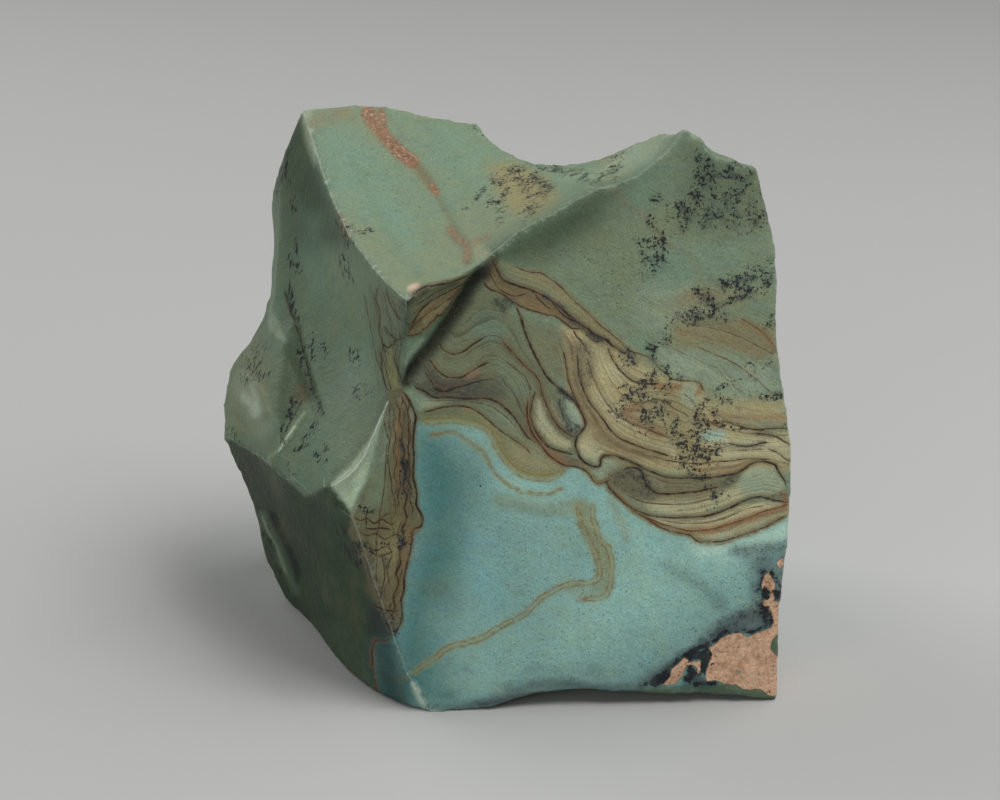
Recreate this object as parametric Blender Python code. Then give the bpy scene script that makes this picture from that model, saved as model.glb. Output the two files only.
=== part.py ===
"""Dendritic stone: one hand-sized block of banded green and blue jasper, broken on every side.

Run it with blender --background --python part.py, or from Blender's text editor. Blender works in metres,
and the points below are in millimetres: +X to the right of the banded front, +Y to the back, +Z up from the
surface that the stone stands on. The points are measured from a mark under the stone, and STONE_SHIFT moves
that mark so that the origin ends up under the middle of the stone.

The stone is one solid. It starts as a block, and every face is the scar of a break: a thin plate bent
through the points that are known on that face. A ridge is a short list of points that two neighbouring
scars share, so the scars meet there. Round bites and small chips come last.
"""

import math

import bmesh
import bpy
import numpy as np
from mathutils import Vector, noise

MM = 0.001

# From the mark that the points are measured from to the origin.
STONE_SHIFT = (2.34, 0.29, 0.0)

# Size of the block that the scars are cut from, and where its middle is. The scars face away from
# STONE_MIDDLE.
BLOCK_SIZE = (102.0, 80.0, 94.0)
BLOCK_MIDDLE = (-2.5, 0.0, 44.0)
STONE_MIDDLE = (0.0, 0.0, 40.0)

# A cutter's face is a square of cells, and its body reaches this far out of the stone. The scars that make
# the picture side have the smaller cells.
CUTTER_REACH = 74.0
CUTTER_DEPTH = 70.0
FINE_CELL = 3.7
WIDE_CELL = 5.8

# How far the front leans back for each millimetre up, and turns away for each millimetre to the right.
FRONT_LEAN = 0.241
FRONT_TURN = 0.068

# Size of the cells of a round bite, and the fewest cells round it.
FLAKE_CELL = 3.0
FEWEST_FLAKE_CELLS = 16

STONE_COLOUR = (0.13, 0.19, 0.14)
STONE_ROUGHNESS = 0.5

# A break in fine-grained stone is faintly wavy: how deep the waves are, and how long.
WAVE_DEPTH = 0.35
WAVE_LENGTH = 17.0
RIPPLE_DEPTH = 0.12
RIPPLE_LENGTH = 6.0
RIPPLE_SHIFT = Vector((7.0, 3.0, 1.0))

# Keeps the logarithm of a plate's bend finite at no distance.
TINY = 1e-9

# Ridges, as points in millimetres.
LEFT_PEAK = (-34.5, 20.5, 82.6)
NOSE_TIP = (-15.9, -29.5, 65.4)
CREASE_TOP = (-3.1, -19.5, 69.4)
RIGHT_PEAK = (27.4, -12.0, 87.8)
RIGHT_SHOULDER = (38.6, -10.5, 81.5)
CREASE_FOOT = (-16.5, -25.5, 50.3)
PROW = (-24.9, -33.8, 32.8)
HOLLOW_FOOT = (-32.5, -19.5, 29.0)
ELBOW = (-48.8, 8.0, 29.6)
VEIN_FOOT = (-18.0, -35.5, 11.7)
FRONT_FOOT = (-12.5, -37.5, 0.0)
RIGHT_FOOT = (42.5, -33.5, 1.0)
RIGHT_BEND = (43.9, -23.5, 42.1)

RIM = [LEFT_PEAK, (-30.1, 8.0, 73.8), (-25.3, -8.0, 68.8), (-20.4, -20.0, 66.4), NOSE_TIP]
NOSE_BROW = [NOSE_TIP, (-12.2, -26.5, 66.7), (-6.9, -22.5, 67.5), CREASE_TOP]
FRONT_BROW = [CREASE_TOP, (1.6, -17.0, 73.1), (6.3, -15.5, 74.9), (12.5, -14.0, 78.2),
              (17.9, -13.0, 79.7), (23.7, -12.5, 83.3), RIGHT_PEAK]
SKYLINE_LEFT = [LEFT_PEAK, (-21.0, 26.0, 81.9), (-11.1, 27.0, 79.4), (-4.5, 25.0, 79.2)]
SKYLINE_SADDLE = [(-3.5, 20.0, 77.9), (1.8, 14.0, 76.1), (8.3, 8.0, 76.4), (14.6, 4.0, 78.6),
                  (20.8, -1.0, 82.8)]
CREASE = [CREASE_TOP, (-9.8, -21.0, 59.3), CREASE_FOOT]
VEIN_VALLEY = [CREASE_FOOT, (-14.3, -27.0, 35.0), (-14.7, -31.0, 26.6), VEIN_FOOT]
PROW_RIDGE = [PROW, (-22.9, -34.0, 26.6), (-20.3, -35.0, 18.2), VEIN_FOOT]
FOOT_RIDGE = [VEIN_FOOT, (-16.2, -36.7, 6.6), FRONT_FOOT]
LEDGE_TOP = [CREASE_FOOT, (-20.5, -27.0, 42.2), (-23.9, -27.6, 37.4), (-28.1, -26.6, 34.3)]
LEDGE_EDGE = [(-17.6, -28.5, 45.4), (-19.3, -30.8, 41.2), PROW]
LEFT_VALLEY = [(-39.0, 15.0, 59.3), (-36.5, 8.0, 53.4), (-34.4, 0.0, 47.6), (-32.3, -7.0, 44.3),
               (-31.8, -11.0, 41.5), (-32.0, -13.0, 40.0)]
ELBOW_SPINE = [(-37.0, 1.0, 48.3), (-38.4, -5.0, 41.9), (-37.7, -11.5, 34.6)]
ELBOW_STEP = [(-38.4, -5.0, 41.9), (-47.2, 13.0, 35.4)]
ELBOW_BACK = [(-41.8, 19.0, 44.8), (-44.4, 17.0, 41.7), (-46.9, 15.0, 39.4), (-47.2, 13.0, 35.4)]
ELBOW_EDGE = [ELBOW, (-44.7, 2.0, 29.6), (-40.3, -7.0, 30.8), (-36.3, -15.0, 30.3)]
LEFT_REAR_EDGE = [LEFT_PEAK, (-37.5, 21.0, 74.0), (-38.2, 19.0, 67.0), (-39.0, 15.0, 59.3)]
LEFT_OUTLINE = [(-36.9, 24.0, 76.4), (-39.5, 26.0, 68.0), (-40.4, 26.0, 64.4), (-40.0, 25.0, 58.5),
                (-40.5, 22.0, 48.7)]
RIGHT_EDGE_HIGH = [RIGHT_SHOULDER, (41.9, -15.0, 67.8), (41.9, -19.0, 57.1), RIGHT_BEND]
RIGHT_EDGE_LOW = [RIGHT_BEND, (44.0, -27.5, 31.9), (42.9, -30.0, 21.0), RIGHT_FOOT]
LEFT_GROUND = [(-17.0, -35.0, 0.0), (-26.3, -22.7, 0.0), (-33.6, -4.0, 0.0)]


def clear_scene():
    for old in list(bpy.data.objects):
        bpy.data.objects.remove(old)


def make_stone_material():
    """Plain grey-green stone: the mean of the picture side's colours."""
    material = bpy.data.materials.new("grey_green_jasper")
    material.use_nodes = True
    shader = material.node_tree.nodes["Principled BSDF"]
    shader.inputs["Base Color"].default_value = (*STONE_COLOUR, 1.0)
    shader.inputs["Roughness"].default_value = STONE_ROUGHNESS
    return material


def add_collection(name):
    made = bpy.data.collections.new(name)
    bpy.context.scene.collection.children.link(made)
    return made


def finish_mesh(mesh, name):
    """An object from a mesh in millimetres, in its place and in metres."""
    bmesh.ops.translate(mesh, vec=STONE_SHIFT, verts=list(mesh.verts))
    bmesh.ops.scale(mesh, vec=(MM, MM, MM), verts=list(mesh.verts))
    data = bpy.data.meshes.new(name)
    mesh.to_mesh(data)
    mesh.free()
    return bpy.data.objects.new(name, data)


def face_frame(points):
    """The middle of the points, two directions in their best plane, and its normal out of the stone."""
    middle = points.mean(axis=0)
    along, across, normal = np.linalg.svd(points - middle)[2]
    if normal @ (middle - np.array(STONE_MIDDLE)) < 0:
        normal = -normal
    return middle, along, np.cross(normal, along), normal


def plate_kernel(distance):
    return np.where(distance > 0, distance**2 * np.log(np.maximum(distance, TINY)), 0.0)


def bent_plate(flat, heights):
    """Height function of the thin plate that is bent the least and still passes through all points."""
    count = len(flat)
    if count == 3:
        slope = np.linalg.solve(np.c_[np.ones(3), flat], heights)
        return lambda at: np.c_[np.ones(len(at)), at] @ slope
    gaps = np.linalg.norm(flat[:, None] - flat[None], axis=2)
    system = np.zeros((count + 3, count + 3))
    system[:count, :count] = plate_kernel(gaps)
    system[:count, count:] = np.c_[np.ones(count), flat]
    system[count:, :count] = system[:count, count:].T
    weights = np.linalg.solve(system, np.r_[heights, np.zeros(3)])

    def height(at):
        reach = np.linalg.norm(at[:, None] - flat[None], axis=2)
        return plate_kernel(reach) @ weights[:count] + np.c_[np.ones(len(at)), at] @ weights[count:]

    return height


def waviness(at):
    """Faint waves of a natural break, in millimetres."""
    wide = noise.noise(Vector(at) / WAVE_LENGTH)
    fine = noise.noise(Vector(at) / RIPPLE_LENGTH + RIPPLE_SHIFT)
    return WAVE_DEPTH * wide + RIPPLE_DEPTH * fine


def make_cutter(name, points, cell=FINE_CELL, wavy=True):
    """A closed body outside the stone whose near face is the plate bent through the points."""
    points = np.array(sorted(set(points)), float)
    middle, along, across, normal = face_frame(points)
    offsets = points - middle
    height = bent_plate(np.c_[offsets @ along, offsets @ across], offsets @ normal)

    mesh = bmesh.new()
    cells = round(2 * CUTTER_REACH / cell)
    bmesh.ops.create_grid(mesh, x_segments=cells, y_segments=cells, size=CUTTER_REACH)
    flat = np.array([v.co[:2] for v in mesh.verts])
    for vert, (u, v), h in zip(mesh.verts, flat, height(flat)):
        at = middle + along * u + across * v + normal * h
        if wavy:
            at = at + normal * waviness(at)
        vert.co = Vector(at)
    grown = bmesh.ops.extrude_face_region(mesh, geom=list(mesh.faces) + list(mesh.edges), use_keep_orig=True)
    far_side = [item for item in grown["geom"] if isinstance(item, bmesh.types.BMVert)]
    out = Vector(normal)
    for vert in far_side:
        vert.co += out * (CUTTER_DEPTH - (vert.co - Vector(middle)).dot(out))
    bmesh.ops.triangulate(mesh, faces=list(mesh.faces))
    bmesh.ops.recalc_face_normals(mesh, faces=list(mesh.faces))
    return as_guide(finish_mesh(mesh, name))


def as_guide(obj):
    cutters.objects.link(obj)
    obj.hide_render = True
    obj.display_type = "WIRE"
    return obj


def combine(obj, other, operation):
    modifier = obj.modifiers.new(f"{operation.lower()} {other.name}", "BOOLEAN")
    modifier.operation = operation
    modifier.object = other
    modifier.solver = "EXACT"


def strike(stone, name, points, cell=FINE_CELL, wavy=True):
    """Breaks off everything outside one scar."""
    combine(stone, make_cutter(name, points, cell, wavy), "DIFFERENCE")


def flake(stone, name, at, outward, width, depth):
    """A shallow round bite of the given width and depth out of a ridge or a face."""
    radius = (width**2 / 4 + depth**2) / (2 * depth)
    centre = Vector(at) + Vector(outward).normalized() * (radius - depth)
    mesh = bmesh.new()
    rings = max(FEWEST_FLAKE_CELLS, int(math.tau * radius / FLAKE_CELL))
    bmesh.ops.create_uvsphere(mesh, u_segments=rings, v_segments=rings // 2, radius=radius)
    turn = Vector((0, 0, 1)).rotation_difference(-Vector(outward))
    bmesh.ops.rotate(mesh, cent=(0, 0, 0), matrix=turn.to_matrix(), verts=list(mesh.verts))
    for vert in mesh.verts:
        at = centre + vert.co
        vert.co = at + vert.co.normalized() * waviness(at)
    bmesh.ops.triangulate(mesh, faces=list(mesh.faces))
    combine(stone, as_guide(finish_mesh(mesh, name)), "DIFFERENCE")


def strike_beside(stone, scars, lumps):
    """Breaks off everything outside the scars, but for the lumps that stand out of them.

    Each lump is a list of scars of its own.
    """
    main = join_cutters(scars)
    for lump in lumps:
        combine(main, join_cutters(lump), "INTERSECT")
    combine(stone, main, "DIFFERENCE")


def join_cutters(scars):
    """One cutter for several scars, each a name and its points."""
    joined = None
    for name, points in scars:
        cutter = make_cutter(name, points)
        if joined:
            combine(joined, cutter, "UNION")
        else:
            joined = cutter
    return joined


def on_front(x, z, hollow):
    """A point on the leaning front, pressed in by so much. Below zero it bulges."""
    depth = FRONT_FOOT[1] + FRONT_LEAN * z + FRONT_TURN * (x - FRONT_FOOT[0])
    return (x, depth + hollow, z)


clear_scene()
parts = add_collection("dendritic_stone")
cutters = add_collection("cutters")

block = bmesh.new()
bmesh.ops.create_cube(block, size=1.0)
bmesh.ops.scale(block, vec=BLOCK_SIZE, verts=list(block.verts))
bmesh.ops.translate(block, vec=BLOCK_MIDDLE, verts=list(block.verts))
stone = finish_mesh(block, "stone")
parts.objects.link(stone)
stone.data.materials.append(make_stone_material())

# The banded front, with the nose and the cheek standing out at its left. It bulges halfway up and is hollow
# under its brow.
front = FRONT_BROW + CREASE + VEIN_VALLEY + FOOT_RIDGE + RIGHT_EDGE_HIGH + RIGHT_EDGE_LOW + [
    on_front(3.0, 69.0, 3.0), on_front(9.0, 71.5, 3.7), on_front(15.0, 74.0, 3.7),
    on_front(21.0, 77.0, 3.4), on_front(5.5, 62.0, 2.7), on_front(12.0, 64.0, 3.2),
    on_front(19.0, 67.0, 3.2), on_front(27.0, 71.0, 2.9), on_front(8.0, 52.0, 1.0),
    on_front(20.0, 54.0, 1.4), on_front(32.0, 57.0, 1.4), on_front(14.0, 40.0, -1.6),
    on_front(28.0, 36.0, -1.8), on_front(-4.0, 29.5, -1.1), on_front(-10.8, 29.4, 1.0),
    on_front(12.0, 5.0, -0.4)]
nose = NOSE_BROW + CREASE
cheek = VEIN_VALLEY + PROW_RIDGE + LEDGE_EDGE
strike_beside(stone, [("front", front)], [[("nose", nose)], [("cheek", cheek)]])

# The hollow left side, with the elbow standing out behind it, and the ledge below its front end.
left = RIM + LEDGE_TOP + LEFT_VALLEY + LEFT_REAR_EDGE + [HOLLOW_FOOT, (-24.0, -9.0, 50.0)]
left_rear = LEFT_REAR_EDGE + LEFT_OUTLINE
elbow_front = LEFT_VALLEY + ELBOW_SPINE
elbow_top = ELBOW_BACK + ELBOW_STEP + [ELBOW_SPINE[0]]
elbow_low = ELBOW_STEP + ELBOW_EDGE + [ELBOW_SPINE[-1]]
strike_beside(stone, [("left", left), ("left_rear", left_rear)],
              [[("elbow_front", elbow_front), ("elbow_top", elbow_top), ("elbow_low", elbow_low)]])
behind_ledge = LEDGE_TOP + [(-22.7, -28.9, 53.8), (-34.3, -30.0, 37.8), (-1.1, -16.9, 41.5),
                            (-12.7, -18.0, 25.5), (-14.0, -34.0, 66.0)]
strike_beside(stone, [("ledge", LEDGE_TOP + LEDGE_EDGE)], [[("behind_ledge", behind_ledge)]])

# The scooped top, with a second small scoop at its right end.
top = RIM + NOSE_BROW + FRONT_BROW + SKYLINE_LEFT + SKYLINE_SADDLE + [(-10.0, 0.0, 71.5)]
strike(stone, "top", top)
flake(stone, "top_right", (20.8, -7.2, 82.0), (-0.57, -0.1, 0.82), 11.5, 1.0)

# Low on the left the stone leans in under the hollow.
strike(stone, "under_left", ELBOW_EDGE + [HOLLOW_FOOT] + PROW_RIDGE + FOOT_RIDGE + LEFT_GROUND)
strike(stone, "under_elbow", [
    ELBOW, (-44.2, 7.0, 20.8), (-42.7, 8.0, 16.5), (-42.0, 10.0, 6.6), (-38.5, 9.0, 0.0),
    (-46.0, 26.0, 30.0), (-43.0, 27.0, 12.0), (-40.0, 24.0, 0.0)])

# The right side and the back are not seen in the picture. They are broken in large shallow scars.
strike(stone, "right_high",
       RIGHT_EDGE_HIGH + [(39.0, 8.0, 68.0), (41.0, 16.0, 44.0), (39.0, -2.0, 58.0)], WIDE_CELL)
strike(stone, "right_low",
       RIGHT_EDGE_LOW + [(41.5, 6.0, 42.0), (42.0, -8.0, 3.0), (38.5, 26.0, 4.0), (37.5, 28.0, 38.0),
                         (41.5, 2.0, 22.0)], WIDE_CELL)
strike(stone, "right_shoulder", [
    RIGHT_PEAK, (30.5, -10.0, 85.1), (32.7, -10.0, 83.3), RIGHT_SHOULDER, (38.0, 8.0, 69.0),
    (30.0, 6.0, 76.0), (33.5, 0.0, 76.5)], WIDE_CELL)
strike(stone, "back_saddle", SKYLINE_SADDLE + [
    (25.0, 2.0, 80.0), (8.0, 33.0, 50.0), (-6.0, 35.5, 54.0), (30.0, 22.0, 58.0), (-5.2, 25.5, 79.8),
    (-9.0, 29.5, 80.5), (-13.0, 36.0, 75.0), (12.0, 18.0, 61.0)], WIDE_CELL)
strike(stone, "back_left", SKYLINE_LEFT + [
    (-36.0, 28.0, 70.0), (-34.0, 35.0, 44.0), (-16.0, 37.5, 44.0), (-4.0, 34.0, 56.0),
    (-20.0, 31.0, 62.0)], WIDE_CELL)
strike(stone, "back_corner", [
    (40.0, 12.0, 60.0), (38.0, 25.0, 38.0), (24.0, 28.0, 52.0), (14.0, 36.0, 36.0), (30.0, 28.5, 34.0),
    (36.0, 30.0, 20.0)], WIDE_CELL)
strike(stone, "back", [
    (-34.0, 35.0, 42.0), (-38.0, 31.0, 12.0), (-10.0, 37.0, 46.0), (22.0, 33.5, 42.0),
    (30.0, 33.0, 12.0), (-4.0, 34.8, 22.0), (-2.0, 37.5, 0.0)], WIDE_CELL)
strike(stone, "back_low", [
    (40.0, 20.0, 12.0), (34.0, 30.5, 26.0), (12.0, 35.5, 20.0), (-6.0, 36.0, 8.0), (-4.0, 33.0, 0.0),
    (28.0, 24.0, 0.0), (16.0, 32.0, 10.0)], WIDE_CELL)
strike(stone, "heel", [
    (-46.5, 18.0, 36.0), (-42.0, 26.0, 52.0), (-36.0, 34.5, 44.0), (-30.0, 34.0, 10.0),
    (-42.0, 22.0, 8.0), (-40.0, 28.0, 28.0)], WIDE_CELL)

# The flat break that the stone stands on, and the hollow under its front edge.
strike(stone, "base", [(-30.0, 0.0, 0.0), (30.0, -20.0, 0.0), (20.0, 25.0, 0.0)], WIDE_CELL, wavy=False)
strike(stone, "under_front", [
    (-4.0, -37.0, 0.4), (1.6, -35.8, 1.6), (8.0, -35.0, 2.4), (15.9, -34.5, 2.2), (20.6, -34.3, 2.0),
    (33.3, -33.8, 1.2), (40.0, -33.5, 0.3), (-2.0, -31.0, -0.6), (12.0, -24.0, -0.4),
    (30.0, -26.0, -0.3), (14.0, -29.0, 1.4)])

# Small chips along the ridges: where, the direction that each is struck from, width and depth.
PICTURE_SIDE_CHIPS = [
    ((-14.6, -27.8, 66.3), (0.1, -0.6, 1.0), 3.2, 0.5),
    ((42.0, -15.0, 71.0), (1.0, -0.2, 0.2), 4.5, 0.9),
    ((42.2, -14.5, 66.8), (1.0, -0.3, -0.1), 3.0, 0.7),
    ((40.2, -12.0, 76.5), (1.0, -0.2, 0.5), 5.0, 0.8),
    ((32.7, -10.0, 83.6), (0.4, -0.3, 1.0), 5.0, 0.9),
    ((36.2, -10.0, 82.2), (0.4, -0.3, 1.0), 4.0, 0.8),
    ((29.0, -11.0, 87.0), (0.6, -0.4, 1.0), 3.5, 0.6),
    ((-26.5, 25.5, 82.6), (0.0, 0.5, 1.0), 3.6, 0.6),
    ((-14.0, 27.2, 80.4), (0.0, 0.4, 1.0), 5.0, 0.6),
]
# On the hidden sides they are larger.
HIDDEN_SIDE_CHIPS = [
    ((4.0, 34.8, 48.5), (0.1, 1.0, 0.6), 17.0, 1.3),
    ((-31.0, 35.5, 44.0), (-0.5, 0.8, 0.5), 15.0, 1.0),
    ((40.5, 13.0, 46.0), (1.0, 0.5, 0.3), 17.0, 1.1),
    ((41.8, -2.0, 1.0), (1.0, 0.0, -0.8), 17.0, 1.1),
    ((-26.0, 33.5, 0.5), (-0.3, 1.0, -0.9), 15.0, 1.1),
    ((-43.0, 25.5, 42.0), (-1.0, 0.3, 0.2), 14.0, 0.9),
]
for number, (at, outward, width, depth) in enumerate(PICTURE_SIDE_CHIPS + HIDDEN_SIDE_CHIPS):
    flake(stone, f"chip_{number}", at, outward, width, depth)
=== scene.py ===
"""Looks of the dendritic stone: its fine surface, its markings, and a plain studio round it.

The markings are drawn as paths, outlines and strokes on the picture plane of the camera, in its pixels, and
thrown from there on to the sides that the camera sees. From the right edge on, the same plane is wrapped round the
hidden sides, so the layers go on round the corner. Each point of the surface keeps what the layers say there (ground
colour, distance to the nearest drawn line, place in the banding, density of the dendrites), and the material turns
that into crisp lines, fine banding and fern-like specks.
"""

import math

import bmesh
import bpy
import numpy as np
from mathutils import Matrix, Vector, kdtree, noise


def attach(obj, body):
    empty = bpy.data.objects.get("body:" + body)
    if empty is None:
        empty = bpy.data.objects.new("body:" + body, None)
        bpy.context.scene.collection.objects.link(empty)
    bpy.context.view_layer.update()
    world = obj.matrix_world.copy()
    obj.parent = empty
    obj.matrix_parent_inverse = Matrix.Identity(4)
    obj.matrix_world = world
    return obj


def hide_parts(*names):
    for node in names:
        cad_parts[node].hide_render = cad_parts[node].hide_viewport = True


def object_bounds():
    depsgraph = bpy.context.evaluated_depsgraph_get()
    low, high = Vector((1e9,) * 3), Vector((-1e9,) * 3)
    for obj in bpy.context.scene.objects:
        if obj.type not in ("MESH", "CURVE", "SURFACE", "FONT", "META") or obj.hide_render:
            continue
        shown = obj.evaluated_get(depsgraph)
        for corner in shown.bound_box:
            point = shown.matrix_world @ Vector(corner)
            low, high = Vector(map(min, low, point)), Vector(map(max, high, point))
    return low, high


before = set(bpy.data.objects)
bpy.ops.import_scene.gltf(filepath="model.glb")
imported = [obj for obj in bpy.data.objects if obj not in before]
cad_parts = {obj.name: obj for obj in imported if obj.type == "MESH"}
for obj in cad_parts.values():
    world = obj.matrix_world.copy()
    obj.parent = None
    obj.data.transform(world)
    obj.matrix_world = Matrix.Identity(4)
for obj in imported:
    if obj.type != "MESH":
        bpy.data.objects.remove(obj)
cad_low, cad_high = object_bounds()

MM = 0.001

# The camera, in metres. The picture is PICTURE pixels wide and high.
PICTURE = (1000, 800)
LENS = 100.0
SENSOR = 36.0
ELEVATION = math.radians(20.0)
EYE = (0.000835, -0.430446, 0.195277)
BACK = (0.0, -math.cos(ELEVATION), math.sin(ELEVATION))
UP = (0.0, math.sin(ELEVATION), math.cos(ELEVATION))
PIXELS_PER_MM = 6.06

# Size of the cells of the stone's skin.
SKIN_CELL = 0.61


def shade(red, green, blue):
    """A colour mixed on a 0 to 255 scale, as the linear numbers that a shader takes."""
    return tuple(((c / 255.0 + 0.055) / 1.055) ** 2.4 for c in (red, green, blue))


# The skin of the stone.


def thrown_on_picture(points):
    """Pixel column and row at which the camera sees each point, given in metres."""
    away = points - np.array(EYE)
    depth = -(away @ np.array(BACK))
    focal = LENS / SENSOR * PICTURE[0]
    column = PICTURE[0] / 2 + focal * away[:, 0] / depth
    row = PICTURE[1] / 2 - focal * (away @ np.array(UP)) / depth
    return np.c_[column, row]


def find_ridges(mesh, least_angle, step):
    """Points along the sharp outward edges of a mesh, and the direction across the ridge at each."""
    work = bmesh.new()
    work.from_mesh(mesh)
    bmesh.ops.remove_doubles(work, verts=list(work.verts), dist=1e-6)
    found = []
    for edge in work.edges:
        if len(edge.link_faces) == 2 and edge.calc_face_angle_signed(0.0) > least_angle:
            one, other = sorted((face.normal for face in edge.link_faces), key=lambda normal: tuple(normal))
            across = (other - one).normalized()
            a, b = edge.verts[0].co, edge.verts[1].co
            count = max(1, int((b - a).length / step))
            found += [(a.lerp(b, i / count), across) for i in range(count + 1)]
    work.free()
    return found


def ridge_distance(points, ridges):
    """How far each point is from the nearest ridge, and how far across it, with a sign, in metres."""
    tree = kdtree.KDTree(len(ridges))
    for i, (point, _) in enumerate(ridges):
        tree.insert(point, i)
    tree.balance()
    gaps, sides = [], []
    for point in points:
        nearest, i, gap = tree.find(point)
        gaps.append(gap)
        sides.append((Vector(point) - nearest).dot(ridges[i][1]))
    return np.array(gaps), np.array(sides)


def relax(points, edges, weight, rounds, push_back=0.0):
    """Moves every point towards the mean of its neighbours, round after round."""
    count = len(points)
    degree = np.bincount(edges.ravel(), minlength=count)[:, None]
    ends = np.r_[edges[:, 0], edges[:, 1]]
    others = np.r_[edges[:, 1], edges[:, 0]]
    for _ in range(rounds):
        for pull in (0.5, -push_back) if push_back else (0.5,):
            mean = np.stack([np.bincount(ends, points[others, k], count) for k in range(3)], axis=1) / degree
            points = points + (mean - points) * weight[:, None] * pull
    return points


def make_skin(node):
    """A fine even skin over the CAD solid, made by a voxel remesh."""
    blank = bpy.data.objects.new("blank", node.data.copy())
    bpy.context.scene.collection.objects.link(blank)
    remesh = blank.modifiers.new("skin", "REMESH")
    remesh.mode = "VOXEL"
    remesh.voxel_size = SKIN_CELL * MM
    ready = blank.evaluated_get(bpy.context.evaluated_depsgraph_get())
    mesh = bpy.data.meshes.new_from_object(ready)
    bpy.data.objects.remove(blank)
    mesh.materials.clear()
    mesh.name = "stone_skin"
    return mesh


def read_points(mesh):
    flat = np.empty(len(mesh.vertices) * 3, np.float32)
    mesh.vertices.foreach_get("co", flat)
    return flat.reshape(-1, 3).astype(float)


def read_normals(mesh):
    flat = np.empty(len(mesh.vertices) * 3, np.float32)
    mesh.vertices.foreach_get("normal", flat)
    return flat.reshape(-1, 3).astype(float)


def read_edges(mesh):
    flat = np.empty(len(mesh.edges) * 2, np.int32)
    mesh.edges.foreach_get("vertices", flat)
    return flat.reshape(-1, 2)


def write_points(mesh, points):
    mesh.vertices.foreach_set("co", points.astype(np.float32).ravel())
    mesh.update()


# Drawing on the picture plane.


def smoothstep(low, high, value):
    t = np.clip((value - low) / (high - low), 0.0, 1.0)
    return t * t * (3.0 - 2.0 * t)


def smooth_path(points, step=3.0):
    """More points on a soft curve through the given ones."""
    points = np.array(points, float)
    if len(points) < 3:
        return points
    before = np.r_[[2 * points[0] - points[1]], points[:-1]]
    after = np.r_[points[1:], [2 * points[-1] - points[-2]]]
    slopes = (after - before) / 2
    made = []
    for i in range(len(points) - 1):
        count = max(1, int(np.linalg.norm(points[i + 1] - points[i]) / step))
        t = (np.arange(count) / count)[:, None]
        made.append(
            (2 * t**3 - 3 * t**2 + 1) * points[i]
            + (t**3 - 2 * t**2 + t) * slopes[i]
            + (3 * t**2 - 2 * t**3) * points[i + 1]
            + (t**3 - t**2) * slopes[i + 1]
        )
    return np.r_[np.concatenate(made), [points[-1]]]


def near_path(path, at, reach):
    """Which points lie within reach of a path, their signed distance to it, and how far along it they are, 0 to 1."""
    low, high = path.min(axis=0) - reach, path.max(axis=0) + reach
    close = np.flatnonzero(((at > low) & (at < high)).all(axis=1))
    here = at[close]
    best = np.full(len(close), 1e9)
    side = np.ones(len(close))
    along = np.zeros(len(close))
    lengths = np.linalg.norm(np.diff(path, axis=0), axis=1)
    starts = np.r_[0.0, np.cumsum(lengths)]
    for a, b, length, start in zip(path[:-1], path[1:], lengths, starts):
        run = (b - a) / max(length, 1e-9)
        offset = here - a
        t = np.clip(offset @ run, 0.0, length)
        gap = np.linalg.norm(offset - t[:, None] * run, axis=1)
        better = gap < best
        best = np.where(better, gap, best)
        side = np.where(better, np.sign(run[0] * offset[:, 1] - run[1] * offset[:, 0]), side)
        along = np.where(better, (start + t) / starts[-1], along)
    keep = best < reach
    return close[keep], (best * side)[keep], along[keep]


def edge_distance(outline, at, reach):
    """Which points lie within reach of an outline, and their distance to its edge, negative outside."""
    outline = np.array(outline, float)
    closed = np.r_[outline, [outline[0]]]
    low, high = outline.min(axis=0) - reach, outline.max(axis=0) + reach
    close = np.flatnonzero(((at > low) & (at < high)).all(axis=1))
    here = at[close]
    crossed = np.zeros(len(close), bool)
    best = np.full(len(close), 1e9)
    for a, b in zip(closed[:-1], closed[1:]):
        run = b - a
        t = np.clip(((here - a) @ run) / max(run @ run, 1e-9), 0.0, 1.0)
        best = np.minimum(best, np.linalg.norm(here - a - t[:, None] * run, axis=1))
        straddles = (a[1] > here[:, 1]) != (b[1] > here[:, 1])
        rise = run[1] if run[1] else 1e-9
        crossed ^= straddles & (here[:, 0] < a[0] + (here[:, 1] - a[1]) / rise * run[0])
    return close, np.where(crossed, best, -best)


def inside(outline, at, feather):
    """How far each point is inside an outline: 0 outside, 1 inside, soft over the feather."""
    close, distance = edge_distance(outline, at, feather)
    weight = np.zeros(len(at))
    weight[close] = smoothstep(-feather, feather, distance)
    return weight
def plate_kernel(distance):
    return np.where(distance > 0, distance**2 * np.log(np.maximum(distance, 1e-9)), 0.0)


def spread_values(guides, at):
    """Values given along guide paths, spread over the plane as smoothly as they can be."""
    spots, values = [], []
    for value, path in guides:
        path = smooth_path(path, 12.0)
        spots.append(path)
        values += [value] * len(path)
    spots = np.concatenate(spots)
    middle = spots.mean(axis=0)
    size = 100.0
    spots = (spots - middle) / size
    here = (at - middle) / size
    count = len(spots)
    system = np.zeros((count + 3, count + 3))
    system[:count, :count] = plate_kernel(np.linalg.norm(spots[:, None] - spots[None], axis=2))
    system[:count, :count] += np.eye(count) * 0.002
    system[:count, count:] = np.c_[np.ones(count), spots]
    system[count:, :count] = system[:count, count:].T
    weights = np.linalg.solve(system, np.r_[values, np.zeros(3)])
    reach = np.linalg.norm(here[:, None] - spots[None], axis=2)
    return plate_kernel(reach) @ weights[:count] + np.c_[np.ones(len(here)), here] @ weights[count:]


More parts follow.
